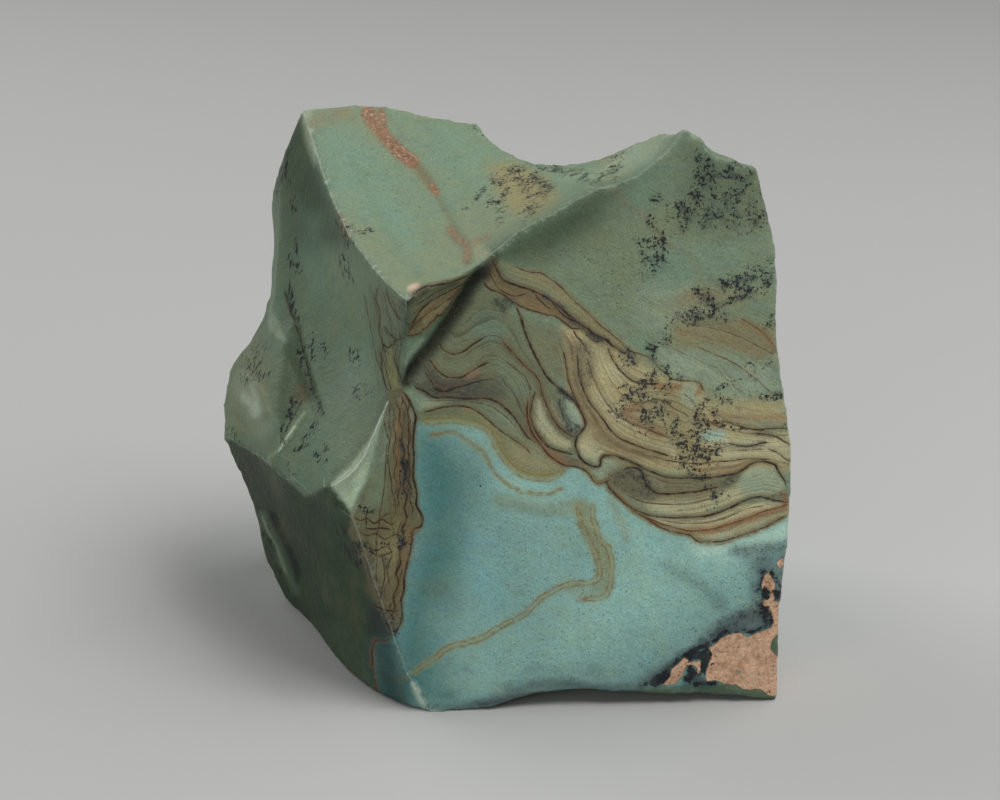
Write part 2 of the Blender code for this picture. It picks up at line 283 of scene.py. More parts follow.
# The stone's colours.
SAGE = shade(123, 143, 119)
SAGE_BLUE = shade(120, 150, 130)
SAGE_PALE = shade(156, 172, 148)
SAGE_TAN = shade(134, 138, 106)
SAGE_DEEP = shade(92, 110, 88)
OLIVE = shade(114, 120, 92)
MOSS_TAN = shade(146, 141, 104)
TAN = shade(180, 168, 126)
TAN_BROWN = shade(112, 94, 66)
RUST = shade(146, 98, 62)
CREAM = shade(196, 193, 156)
BLUE = shade(142, 184, 177)
BLUE_DEEP = shade(72, 122, 120)
BLUE_PALE = shade(160, 206, 197)
BLUE_FAR = shade(188, 224, 212)
BLUE_BRIGHT = shade(136, 188, 190)
GREY_BROWN = shade(88, 88, 74)
SLATE = shade(58, 66, 70)
SMOKE = shade(86, 96, 104)
ORANGE_PINK = shade(226, 182, 148)
PINK = shade(206, 170, 150)
RED_PINK = shade(146, 104, 78)
# Pale bruised edges and flecks, and painted highlights.
BRUISE_AND_HIGHLIGHT = shade(206, 220, 204)
GOLD = shade(158, 142, 92)
GROUND_LEFT = shade(106, 128, 105)
# Painted shade: the low-left face is painted dark for the shade it lies in.
LOW_LEFT_SHADE = shade(44, 65, 41)
# Painted light: the ledge is painted pale for the light it catches from above.
LEDGE_PALE = shade(176, 198, 170)
DEEP_TEAL = shade(38, 74, 73)
OLIVE_TAN = shade(118, 120, 90)
# Painted shade, laid into the crease and the hollows.
PAINTED_SHADE = shade(17, 25, 14)
SHADOW_GREEN = shade(58, 76, 54)
# Painted highlight for bright ridge lines.
RIDGE_HIGHLIGHT = shade(192, 206, 168)
COLUMN = shade(104, 100, 72)
LOBE = shade(110, 122, 94)
VEIN_TAN = shade(156, 152, 100)
VEIN_EDGE = shade(122, 96, 50)
INK = shade(26, 28, 32)
LINE_BROWN = shade(40, 32, 24)
LINE_RUST = shade(116, 76, 46)

# Where the brown and the blue meet, from the nose down to the foot, then under the bands to the right edge.
LEFT_CONTACT = [(401, 385), (404, 393), (409, 400), (413, 409), (416, 417), (414, 430), (413, 445), (414, 460), (413, 475),
                (415, 485), (417, 495), (416, 505), (420, 512), (423, 520), (421, 527), (413, 529), (412, 540), (411, 550),
                (408, 560), (406, 570), (404, 580), (404, 590), (401, 600), (402, 610), (402, 620), (398, 629), (392, 638)]
LOWER_CONTACT = [(577, 466), (584, 469), (590, 475), (594, 481), (598, 484), (603, 483), (606, 481), (610, 489), (618, 497),
                 (626, 504), (632, 510), (638, 514), (645, 518), (652, 522), (660, 527), (670, 531), (680, 533), (690, 535),
                 (694, 539), (701, 542), (708, 542), (718, 542), (728, 540), (740, 536), (752, 532), (765, 527), (780, 519),
                 (790, 514)]
HIDDEN_CONTACT = [(790, 514), (815, 503), (850, 500), (890, 512), (925, 536), (965, 552), (1010, 548), (1050, 528),
                  (1090, 505), (1135, 498), (1180, 512), (1225, 545), (1280, 572), (1340, 578), (1395, 560), (1450, 545),
                  (1510, 556), (1570, 590), (1620, 640), (1650, 700), (1660, 770)]
LOBE_EDGE = [(421, 422), (440, 421), (460, 421), (478, 425), (488, 431), (494, 440), (498, 449), (503, 458), (510, 466),
             (518, 472), (527, 476), (537, 478), (547, 478), (557, 475), (566, 470)]
LOBE_TOP = [(421, 413), (430, 411), (440, 408), (452, 406), (462, 406), (470, 408), (478, 412), (486, 418), (494, 425),
            (501, 431), (508, 436), (516, 441)]
FOOT_CONTACT = [(392, 638), (384, 641), (376, 640), (373, 648), (371, 660), (373, 672), (375, 682), (377, 692), (380, 704)]
LENS_TOP = [(492, 258), (494, 264), (498, 272), (503, 280), (510, 283), (518, 286), (526, 288), (535, 292), (545, 297),
            (553, 302), (560, 307), (566, 313), (573, 319), (580, 324), (587, 328), (592, 333), (600, 337), (607, 340),
            (612, 346), (618, 349), (627, 356)]
LENS_FOOT = [(484, 279), (486, 286), (491, 290), (498, 292), (505, 296), (510, 300), (520, 306), (530, 310), (538, 312),
             (545, 315), (553, 315), (558, 318), (565, 323), (571, 328), (577, 329), (583, 329)]
OUTER_LINE = [(510, 264), (520, 269), (530, 272), (541, 273), (548, 277), (556, 283), (563, 289), (572, 299), (580, 306),
              (590, 315), (600, 325), (610, 333), (620, 341), (628, 350), (636, 353), (648, 357), (655, 363), (660, 369),
              (666, 374), (672, 379), (680, 381), (690, 381), (700, 383), (703, 390), (708, 396)]
LONG_LINE_HIGH = [(508, 301), (513, 304), (517, 309), (521, 318), (524, 329), (528, 340), (533, 351), (538, 361), (543, 371),
                  (549, 379), (556, 386), (563, 392), (570, 397), (575, 402), (580, 410), (584, 418), (586, 425)]
LONG_LINE_LOW = [(586, 425), (582, 431), (577, 436), (575, 443), (577, 452), (582, 460), (589, 465), (597, 467), (601, 465),
                 (600, 460), (603, 456), (612, 455), (621, 458), (632, 462), (641, 467), (650, 471), (662, 476), (675, 478),
                 (690, 478), (705, 478), (720, 476), (734, 474), (744, 469), (752, 463), (760, 461), (770, 463), (776, 465),
                 (778, 471), (782, 477), (786, 484), (785, 490), (782, 493)]
LOW_BAND_LINE = [(606, 481), (609, 487), (614, 493), (622, 501), (632, 508), (645, 514), (660, 517), (680, 518), (700, 517),
                 (715, 514), (728, 509), (740, 503), (752, 498), (761, 497), (772, 500), (790, 503)]
SWIRL_EDGE = [(536, 390), (532, 402), (530, 414), (533, 426), (538, 435), (545, 444), (553, 449), (563, 452), (575, 455)]
SWIRL_RIM = [(528, 398), (527, 412), (529, 425), (534, 436), (541, 445), (547, 453), (555, 460), (564, 465), (577, 467),
             (588, 472)]
FOLD_FOOT = [(412, 384), (418, 389), (425, 391), (431, 396), (438, 398), (448, 397), (458, 398), (470, 399), (480, 398),
             (490, 399), (497, 402), (505, 408), (512, 415), (518, 423), (523, 431), (528, 438), (533, 441)]
FOLD_TOP = [(441, 343), (442, 348), (446, 352), (452, 354), (458, 354), (465, 351), (471, 346), (478, 341), (484, 338)]
FOLD_MIDDLE = [(430, 358), (434, 366), (440, 373), (448, 377), (458, 378), (466, 375), (474, 370), (482, 365), (490, 362)]
FOLD_LOWER = [(424, 370), (430, 380), (436, 387), (446, 390), (455, 387), (463, 386), (472, 383), (485, 380), (497, 379)]
FOLD_RUN = [(500, 339), (509, 349), (518, 359), (527, 368), (535, 375), (540, 383), (542, 393), (546, 404), (550, 414),
            (556, 424), (563, 431), (571, 436), (579, 438)]
SWIRL_COLUMN = [(563, 350), (566, 364), (568, 378), (572, 391), (577, 402), (582, 413), (586, 425)]
SWIRL_INNER = [(577, 350), (578, 366), (580, 379), (584, 392), (590, 403), (598, 413), (604, 421), (610, 430), (618, 437),
               (630, 443), (643, 448), (656, 452), (672, 457)]
SWIRL_MIDDLE = [(586, 356), (590, 368), (594, 380), (600, 392), (608, 405), (618, 416), (630, 423), (642, 427), (652, 431),
                (662, 435), (673, 439)]
SWIRL_OUTER = [(607, 346), (610, 354), (614, 362), (620, 370), (627, 377), (635, 382), (645, 384), (660, 384)]
BAND_RUN = [(650, 455), (665, 460), (685, 463), (700, 464), (715, 462), (730, 461), (745, 459), (757, 459), (772, 460)]
VEIN_OUTER = [(593, 503), (592, 515), (596, 528), (601, 540), (608, 548), (611, 560), (611, 575), (610, 588), (607, 594),
              (600, 598), (590, 598), (583, 599)]
VEIN_INNER = [(575, 503), (578, 512), (582, 525), (588, 537), (594, 550), (598, 563), (599, 574), (596, 580), (588, 583),
              (578, 583), (568, 585), (560, 588), (550, 592), (542, 597), (529, 610), (515, 620), (505, 625), (492, 632),
              (480, 639), (468, 643), (454, 646), (443, 650), (435, 658), (424, 665), (408, 676)]
CREASE = [(486, 270), (479, 280), (470, 292), (461, 307), (452, 320), (443, 333), (434, 346), (424, 358), (414, 370),
          (406, 382)]

HIDDEN_UPPER = [(780, 400), (900, 360), (1100, 380), (1200, 400), (1330, 440), (1420, 470), (1500, 500), (1570, 550),
                (1625, 620), (1655, 700)]
HIDDEN_STRIP = HIDDEN_UPPER + HIDDEN_CONTACT[:0:-1]

# Outlines of the sides, along their ridges.
TOP_SIDE = [(296, 100), (303, 108), (316, 163), (340, 214), (362, 252), (405, 300), (422, 286), (435, 283), (450, 279),
            (462, 276), (472, 270), (480, 264), (490, 256), (500, 247), (510, 240), (560, 207), (605, 185), (640, 172),
            (660, 155), (683, 126), (690, 118), (600, 100)]
NOSE_SIDE = [(405, 300), (422, 286), (435, 283), (450, 279), (462, 276), (472, 270), (484, 262), (484, 274), (470, 292),
             (452, 320), (434, 346), (406, 382), (402, 384), (404, 340)]
FRONT_SIDE = [(484, 262), (510, 240), (560, 207), (605, 185), (640, 172), (660, 155), (683, 126), (720, 120), (800, 150),
              (810, 720), (380, 740), (395, 660), (350, 514), (403, 383), (434, 346), (452, 320), (470, 292)]
LEDGE_SIDE = [(403, 383), (388, 405), (370, 440), (350, 468), (330, 484), (345, 503), (352, 513), (372, 475), (392, 430)]
LOW_LEFT_SIDE = [(219, 434), (232, 440), (250, 450), (275, 468), (305, 497), (330, 484), (352, 513), (392, 638), (425, 715),
                 (300, 720), (200, 500)]
LEFT_SIDE = [(150, 90), (303, 100), (316, 163), (340, 214), (362, 252), (405, 300), (404, 380), (330, 484), (305, 498),
             (219, 434), (150, 400)]
BLUE_SIDE = LOBE_EDGE + LOWER_CONTACT + HIDDEN_CONTACT[1:] + [(1660, 790), (380, 790)] + FOOT_CONTACT[::-1] + LEFT_CONTACT[:4:-1]
CRUST_WINDOWS_GREEN = [(766, 628), (792, 628), (792, 674), (766, 674)]
# Ground colours, in the order in which they are laid on: colour, strength, softness of the edge in pixels, outline.
GROUNDS = [
    # The left side and the elbow.
    (GROUND_LEFT, 1.0, 3, LEFT_SIDE),
    (SHADOW_GREEN, 0.8, 14, [(280, 100), (308, 115), (328, 190), (345, 240), (320, 255), (290, 240), (270, 150)]),
    (SAGE, 1.0, 16, [(325, 250), (360, 262), (395, 310), (384, 385), (345, 400), (325, 330)]),
    (SAGE_BLUE, 0.5, 12, [(345, 330), (372, 335), (372, 375), (350, 385)]),
    (SAGE_BLUE, 0.4, 14, [(300, 210), (325, 215), (325, 300), (305, 300)]),
    (SAGE_DEEP, 0.6, 12, [(275, 190), (298, 200), (302, 330), (285, 330)]),
    (SAGE, 0.5, 18, [(320, 390), (375, 395), (350, 455), (315, 480), (300, 430)]),
    (SAGE_TAN, 0.6, 14, [(235, 350), (262, 335), (275, 400), (262, 440), (225, 430), (230, 380)]),
    (OLIVE, 0.6, 10, [(272, 360), (300, 350), (306, 400), (280, 420)]),
    (SHADOW_GREEN, 0.5, 4, [(285, 340), (296, 334), (304, 362), (309, 390), (300, 408), (284, 424), (277, 416), (280, 380)]),
    (SAGE_PALE, 0.75, 2.5, [(268, 322), (274, 312), (279, 322), (285, 341), (277, 338), (270, 330)]),
    (OLIVE, 0.35, 8, [(372, 285), (404, 302), (404, 370), (392, 398), (376, 370)]),
    (VEIN_TAN, 0.75, 3, [(386, 345), (394, 342), (392, 360), (397, 375), (402, 392), (391, 394), (386, 375)]),
    # Painted shade over the low-left face.
    (LOW_LEFT_SHADE, 1.0, 2, LOW_LEFT_SIDE),
    # Painted light: the ledge and its top, painted pale for the light they catch from above.
    (LEDGE_PALE, 1.0, 2, LEDGE_SIDE),
    (SAGE_PALE, 0.9, 5, [(388, 416), (372, 452), (350, 490), (340, 496), (338, 488), (356, 468), (376, 436)]),
    # The top.
    (SAGE, 1.0, 1.5, TOP_SIDE),
    (SAGE_BLUE, 0.8, 20, [(318, 130), (370, 140), (400, 200), (420, 250), (360, 215), (335, 190)]),
    (SAGE_BLUE, 0.5, 16, [(440, 130), (480, 140), (480, 180), (440, 180)]),
    (SAGE_TAN, 0.6, 16, [(350, 225), (375, 228), (400, 270), (440, 282), (400, 288)]),
    (SAGE_TAN, 0.5, 18, [(420, 240), (500, 190), (520, 230), (470, 268), (430, 276)]),
    (MOSS_TAN, 1.0, 9, [(488, 166), (515, 162), (545, 176), (560, 200), (535, 218), (512, 214), (500, 200)]),
    (MOSS_TAN, 0.5, 8, [(600, 150), (625, 148), (622, 182), (600, 182)]),
    (SAGE_PALE, 0.5, 8, [(560, 178), (600, 168), (640, 134), (680, 128), (655, 155), (636, 170), (605, 182)]),
    (SAGE_PALE, 0.9, 4, [(300, 108), (311, 107), (312, 138), (319, 160), (314, 166), (305, 140)]),
    (SAGE_TAN, 0.5, 10, [(345, 110), (372, 112), (384, 140), (368, 145)]),
    # The nose.
    (SAGE_DEEP, 1.0, 1.5, NOSE_SIDE),
    (OLIVE, 0.9, 3, [(405, 300), (422, 286), (450, 279), (474, 270), (478, 280), (456, 296), (440, 315), (424, 331),
                     (408, 336)]),
    (MOSS_TAN, 0.9, 3, [(410, 334), (414, 318), (428, 304), (446, 295), (462, 288), (452, 300), (438, 316), (424, 331)]),
    (RUST, 0.22, 2, [(424, 312), (431, 306), (438, 304), (436, 311), (428, 319)]),
    (GREY_BROWN, 0.6, 2, [(408, 333), (413, 322), (421, 316), (424, 322), (416, 332)]),
    (GREY_BROWN, 0.5, 2, [(444, 300), (455, 292), (466, 285), (462, 291), (450, 301)]),
    (OLIVE_TAN, 0.35, 4, [(406, 340), (424, 336), (440, 320), (452, 308), (456, 312), (434, 345), (406, 380), (402, 360)]),
    (SAGE_BLUE, 0.8, 4, [(406, 340), (424, 336), (440, 320), (452, 308), (456, 312), (434, 345), (406, 380), (402, 360)]),
    # Painted shade along the nose's rounded left edge.
    (SAGE_DEEP, 1.0, 3, [(405, 300), (414, 292), (420, 292), (410, 308), (407, 330), (404, 335)]),
    # The upper front.
    (SAGE, 1.0, 2, FRONT_SIDE),
    # Painted shade under the brow ridge, in the next two grounds.
    (SAGE_DEEP, 0.85, 22, [(492, 245), (600, 186), (640, 172), (600, 235), (545, 262), (505, 262)]),
    (SHADOW_GREEN, 0.6, 18, [(492, 250), (560, 214), (604, 190), (590, 222), (545, 258), (505, 264)]),
    (SAGE_TAN, 0.35, 26, [(560, 250), (660, 200), (760, 160), (780, 200), (780, 260), (700, 320), (620, 320)]),
    (SAGE_BLUE, 0.6, 16, [(640, 250), (700, 240), (765, 238), (740, 262), (700, 290), (650, 300)]),
    (SAGE_BLUE, 0.5, 12, [(628, 190), (650, 180), (655, 205), (635, 215)]),
    (SAGE_DEEP, 0.5, 18, [(690, 150), (765, 165), (775, 225), (740, 235), (680, 225)]),
    (GREY_BROWN, 0.2, 20, [(690, 150), (765, 165), (775, 235), (720, 240), (680, 225)]),
    (SAGE_PALE, 0.6, 14, [(640, 290), (690, 285), (705, 310), (660, 330), (640, 320)]),
    (MOSS_TAN, 0.5, 10, [(676, 292), (700, 284), (770, 290), (740, 310), (690, 312)]),
    (MOSS_TAN, 0.75, 12, [(672, 325), (720, 318), (780, 325), (780, 360), (720, 352), (672, 350)]),
    # The lens and the folds at the left centre.
    (SAGE_TAN, 0.9, 4, [(494, 258), (520, 268), (556, 282), (590, 315), (632, 349), (660, 369), (655, 376), (625, 357),
                        (566, 311), (518, 285)]),
    (MOSS_TAN, 0.9, 3, LENS_TOP + LENS_FOOT[::-1]),
    (TAN_BROWN, 0.45, 4, LENS_TOP + LENS_FOOT[::-1]),
    (RUST, 0.30, 4, [(510, 296), (530, 300), (560, 313), (572, 323), (556, 316), (525, 309)]),
    (OLIVE, 0.9, 8, [(480, 280), (505, 300), (535, 360), (560, 395), (575, 440), (530, 440), (500, 405), (440, 398),
                         (410, 385), (440, 340), (466, 300)]),
    (SAGE_BLUE, 0.45, 10, [(478, 312), (500, 316), (512, 334), (490, 342), (470, 335)]),
    (GREY_BROWN, 0.7, 7, [(424, 372), (440, 380), (465, 382), (500, 378), (520, 392), (500, 402), (440, 399), (420, 388)]),
    (OLIVE_TAN, 0.8, 8, [(518, 318), (558, 326), (566, 350), (568, 384), (548, 376), (530, 348)]),
    (SAGE, 0.6, 7, [(498, 352), (520, 366), (534, 385), (528, 400), (510, 396), (496, 375)]),
    # The swirl.
    (TAN, 0.95, 6, [(562, 326), (590, 332), (627, 356), (666, 376), (700, 385), (720, 420), (790, 436), (790, 470),
                    (700, 478), (640, 466), (600, 455), (578, 450), (580, 420), (568, 390)]),
    (TAN_BROWN, 0.55, 6, [(562, 336), (580, 345), (586, 380), (592, 405), (612, 434), (660, 455), (640, 460), (600, 446),
                          (574, 400)]),
    (CREAM, 0.6, 6, [(598, 352), (618, 368), (622, 380), (604, 384), (594, 366)]),
    (CREAM, 0.6, 5, [(592, 388), (604, 392), (625, 415), (660, 432), (640, 428), (612, 416)]),
    (MOSS_TAN, 0.7, 9, [(632, 384), (680, 386), (700, 420), (690, 450), (655, 436), (622, 408)]),
    (SAGE_PALE, 0.9, 4, [(681, 386), (698, 385), (700, 400), (692, 408), (683, 402)]),
    (SAGE_PALE, 0.8, 8, [(655, 350), (700, 350), (745, 358), (770, 368), (778, 392), (742, 398), (712, 388), (672, 372)]),
    (SAGE_BLUE, 0.5, 9, [(700, 352), (740, 362), (745, 378), (706, 368)]),
    (TAN, 0.8, 8, [(712, 398), (785, 400), (790, 425), (740, 422), (712, 414)]),
    (BLUE_PALE, 0.7, 5, [(703, 432), (722, 430), (728, 438), (712, 443), (702, 440)]),
    (CREAM, 0.8, 6, [(712, 440), (790, 434), (790, 460), (715, 460)]),
    (CREAM, 0.6, 5, [(578, 440), (600, 446), (604, 456), (598, 464), (584, 458)]),
    (OLIVE, 0.8, 4, [(537, 392), (552, 400), (568, 430), (578, 438), (576, 452), (550, 446), (534, 428), (531, 408)]),
    (CREAM, 0.8, 3, [(536, 398), (541, 400), (546, 418), (560, 436), (574, 444), (566, 449), (548, 442), (536, 424)]),
    (CREAM, 0.5, 3, [(553, 402), (560, 416), (570, 430), (578, 434), (570, 434), (558, 424), (550, 408)]),
    (SAGE_PALE, 1.0, 2.5, [(565, 398), (574, 403), (582, 415), (583, 424), (577, 428), (569, 424), (563, 412), (562, 402)]),
    (TAN_BROWN, 0.8, 3, [(527, 408), (534, 428), (545, 446), (563, 454), (580, 458), (590, 470), (570, 467), (548, 456),
                         (532, 438), (526, 424)]),
    # The bands above the blue.
    (MOSS_TAN, 0.9, 4, LONG_LINE_LOW[9:24] + [(735, 490), (700, 516), (650, 514), (618, 494), (606, 480)]),
    (GREY_BROWN, 0.45, 6, [(612, 470), (640, 470), (650, 486), (668, 492), (650, 502), (622, 494), (608, 482)]),
    (GREY_BROWN, 0.5, 6, [(660, 480), (720, 478), (735, 480), (712, 490), (670, 492)]),
    (CREAM, 0.9, 4, [(640, 502), (700, 500), (735, 488), (750, 468), (783, 478), (783, 494), (750, 496), (700, 515),
                     (655, 514)]),
    (SAGE_PALE, 0.9, 4, [(738, 480), (752, 466), (776, 467), (784, 484), (780, 491), (760, 494), (742, 494)]),
    (SAGE_PALE, 0.7, 3, [(601, 460), (612, 458), (618, 466), (604, 478), (596, 478), (594, 470)]),
    (TAN, 1.0, 3, [(608, 486), (622, 502), (650, 517), (700, 519), (740, 505), (790, 505), (790, 516), (740, 538),
                   (702, 541), (650, 522)]),
    (CREAM, 0.9, 2.5, [(650, 519), (690, 521), (720, 517), (742, 507), (762, 501), (782, 504), (750, 512), (715, 524),
                       (680, 526)]),
    (RUST, 0.75, 3, [(645, 518), (680, 529), (715, 527), (750, 515), (788, 504), (788, 511), (745, 524), (712, 534),
                     (690, 535), (655, 524)]),
    # The blue.
    (CREAM, 0.4, 6, [(421, 400), (470, 402), (500, 410), (530, 445), (515, 442), (480, 412), (421, 410)]),
    (BLUE, 1.0, 1.6, BLUE_SIDE),
    # Darker teal at the left of the blue: partly the stone's own colour, partly painted shade where the face turns from
    # the light.
    (BLUE_DEEP, 0.95, 34, [(410, 425), (440, 430), (475, 470), (470, 560), (440, 620), (450, 700), (380, 720), (385, 640),
                           (405, 540)]),
    (BLUE_DEEP, 0.25, 30, [(470, 480), (520, 520), (520, 600), (470, 640)]),
    (BLUE_BRIGHT, 0.6, 16, [(474, 520), (492, 530), (508, 590), (500, 626), (476, 616), (470, 570)]),
    (BLUE_PALE, 0.8, 26, [(600, 500), (700, 555), (790, 525), (790, 548), (700, 590), (660, 620), (560, 660), (560, 610),
                          (620, 560)]),
    (BLUE_FAR, 0.9, 10, [(690, 545), (740, 538), (790, 520), (790, 542), (740, 556), (700, 560)]),
    (BLUE_PALE, 0.5, 14, [(500, 470), (560, 488), (580, 500), (540, 505), (500, 490)]),
    (LOBE, 1.0, 4, LOBE_TOP + [(530, 442), (545, 458), (566, 470)] + LOBE_EDGE[:-1][::-1]),
    (TAN, 0.5, 8, [(500, 428), (530, 445), (566, 468), (540, 474), (512, 462)]),
    (OLIVE, 0.35, 9, [(425, 578), (450, 578), (450, 598), (425, 598)]),
    (SMOKE, 0.22, 12, [(440, 590), (460, 596), (458, 625), (440, 620)]),
    # The brown column left of the blue.
    (COLUMN, 1.0, 2, [(388, 392), (401, 386), (412, 406), (416, 417), (413, 450), (415, 485), (417, 505), (423, 520),
                         (421, 527), (412, 540), (405, 578), (402, 612), (392, 638), (360, 560), (348, 530), (352, 513),
                         (375, 470)]),
    (OLIVE, 0.6, 6, [(386, 408), (396, 412), (396, 470), (392, 510), (372, 530), (356, 530), (352, 514), (374, 474)]),
    (SAGE, 0.65, 6, [(384, 425), (392, 440), (384, 500), (364, 512), (372, 475)]),
    (GREY_BROWN, 0.7, 3, [(403, 400), (410, 412), (411, 440), (410, 480), (412, 515), (406, 520), (403, 480), (405, 440)]),
    (SAGE_PALE, 0.6, 2, [(409, 404), (414, 410), (414, 426), (410, 424)]),
    (SAGE_BLUE, 0.5, 3, [(405, 440), (411, 446), (411, 458), (406, 455)]),
    (RUST, 0.35, 2, [(394, 424), (399, 420), (400, 470), (396, 500), (393, 470)]),
    (VEIN_TAN, 0.3, 3, [(386, 520), (400, 518), (398, 560), (388, 566)]),
    (OLIVE, 0.6, 4, [(400, 530), (408, 536), (404, 560), (396, 556)]),
    (MOSS_TAN, 0.5, 5, [(372, 540), (395, 536), (394, 570), (384, 590), (374, 572)]),
    (RUST, 0.5, 2.5, [(408, 528), (413, 530), (411, 552), (405, 574), (402, 570)]),
    (LINE_BROWN, 0.6, 6, [(372, 604), (388, 612), (392, 636), (374, 640), (366, 628)]),
    (TAN_BROWN, 0.6, 5, [(368, 560), (386, 600), (380, 606), (366, 590)]),
    # The foot, the smoke and the green sliver under the crust.
    (SMOKE, 0.25, 16, [(470, 700), (500, 682), (560, 668), (620, 668), (660, 655), (700, 630), (720, 600), (700, 640),
                      (660, 690), (480, 715)]),
    (SMOKE, 0.5, 14, [(735, 550), (790, 545), (790, 630), (765, 618), (756, 600), (758, 575)]),
    (SMOKE, 0.15, 9, [(668, 566), (680, 568), (725, 598), (726, 612), (705, 596), (680, 578)]),
    (SMOKE, 0.8, 9, [(735, 612), (775, 600), (775, 630), (745, 634), (716, 640), (700, 648), (712, 632)]),
    (SLATE, 0.8, 8, [(640, 680), (680, 655), (700, 645), (690, 662), (665, 684)]),
    (SLATE, 0.9, 4, [(684, 678), (690, 666), (698, 670), (700, 676), (712, 680), (704, 686), (688, 684)]),
    (SAGE_DEEP, 1.0, 2.5, [(636, 690), (680, 686), (716, 682), (738, 682), (762, 688), (800, 692), (800, 705), (640, 705)]),
    (BLUE_DEEP, 0.5, 5, [(672, 686), (716, 682), (716, 690), (672, 692)]),
    (SAGE_DEEP, 1.0, 3, CRUST_WINDOWS_GREEN),
    # Round the corner.
    (MOSS_TAN, 0.7, 18, [(790, 420), (860, 400), (960, 440), (1060, 420), (1150, 410), (1250, 450), (1380, 482), (1470, 500),
                         (1550, 550), (1610, 620), (1645, 700)] + HIDDEN_CONTACT[:0:-1]),
    (SAGE_BLUE, 0.6, 40, [(800, 200), (950, 180), (1100, 240), (1250, 200), (1400, 240), (1350, 330), (1100, 340),
                          (880, 330)]),
    (SLATE, 0.5, 20, [(790, 560), (830, 590), (850, 640), (900, 680), (1000, 715), (1100, 760), (790, 760)]),
    (BLUE_DEEP, 0.6, 40, [(1150, 560), (1300, 600), (1420, 590), (1560, 640), (1640, 760), (1100, 760)]),
]

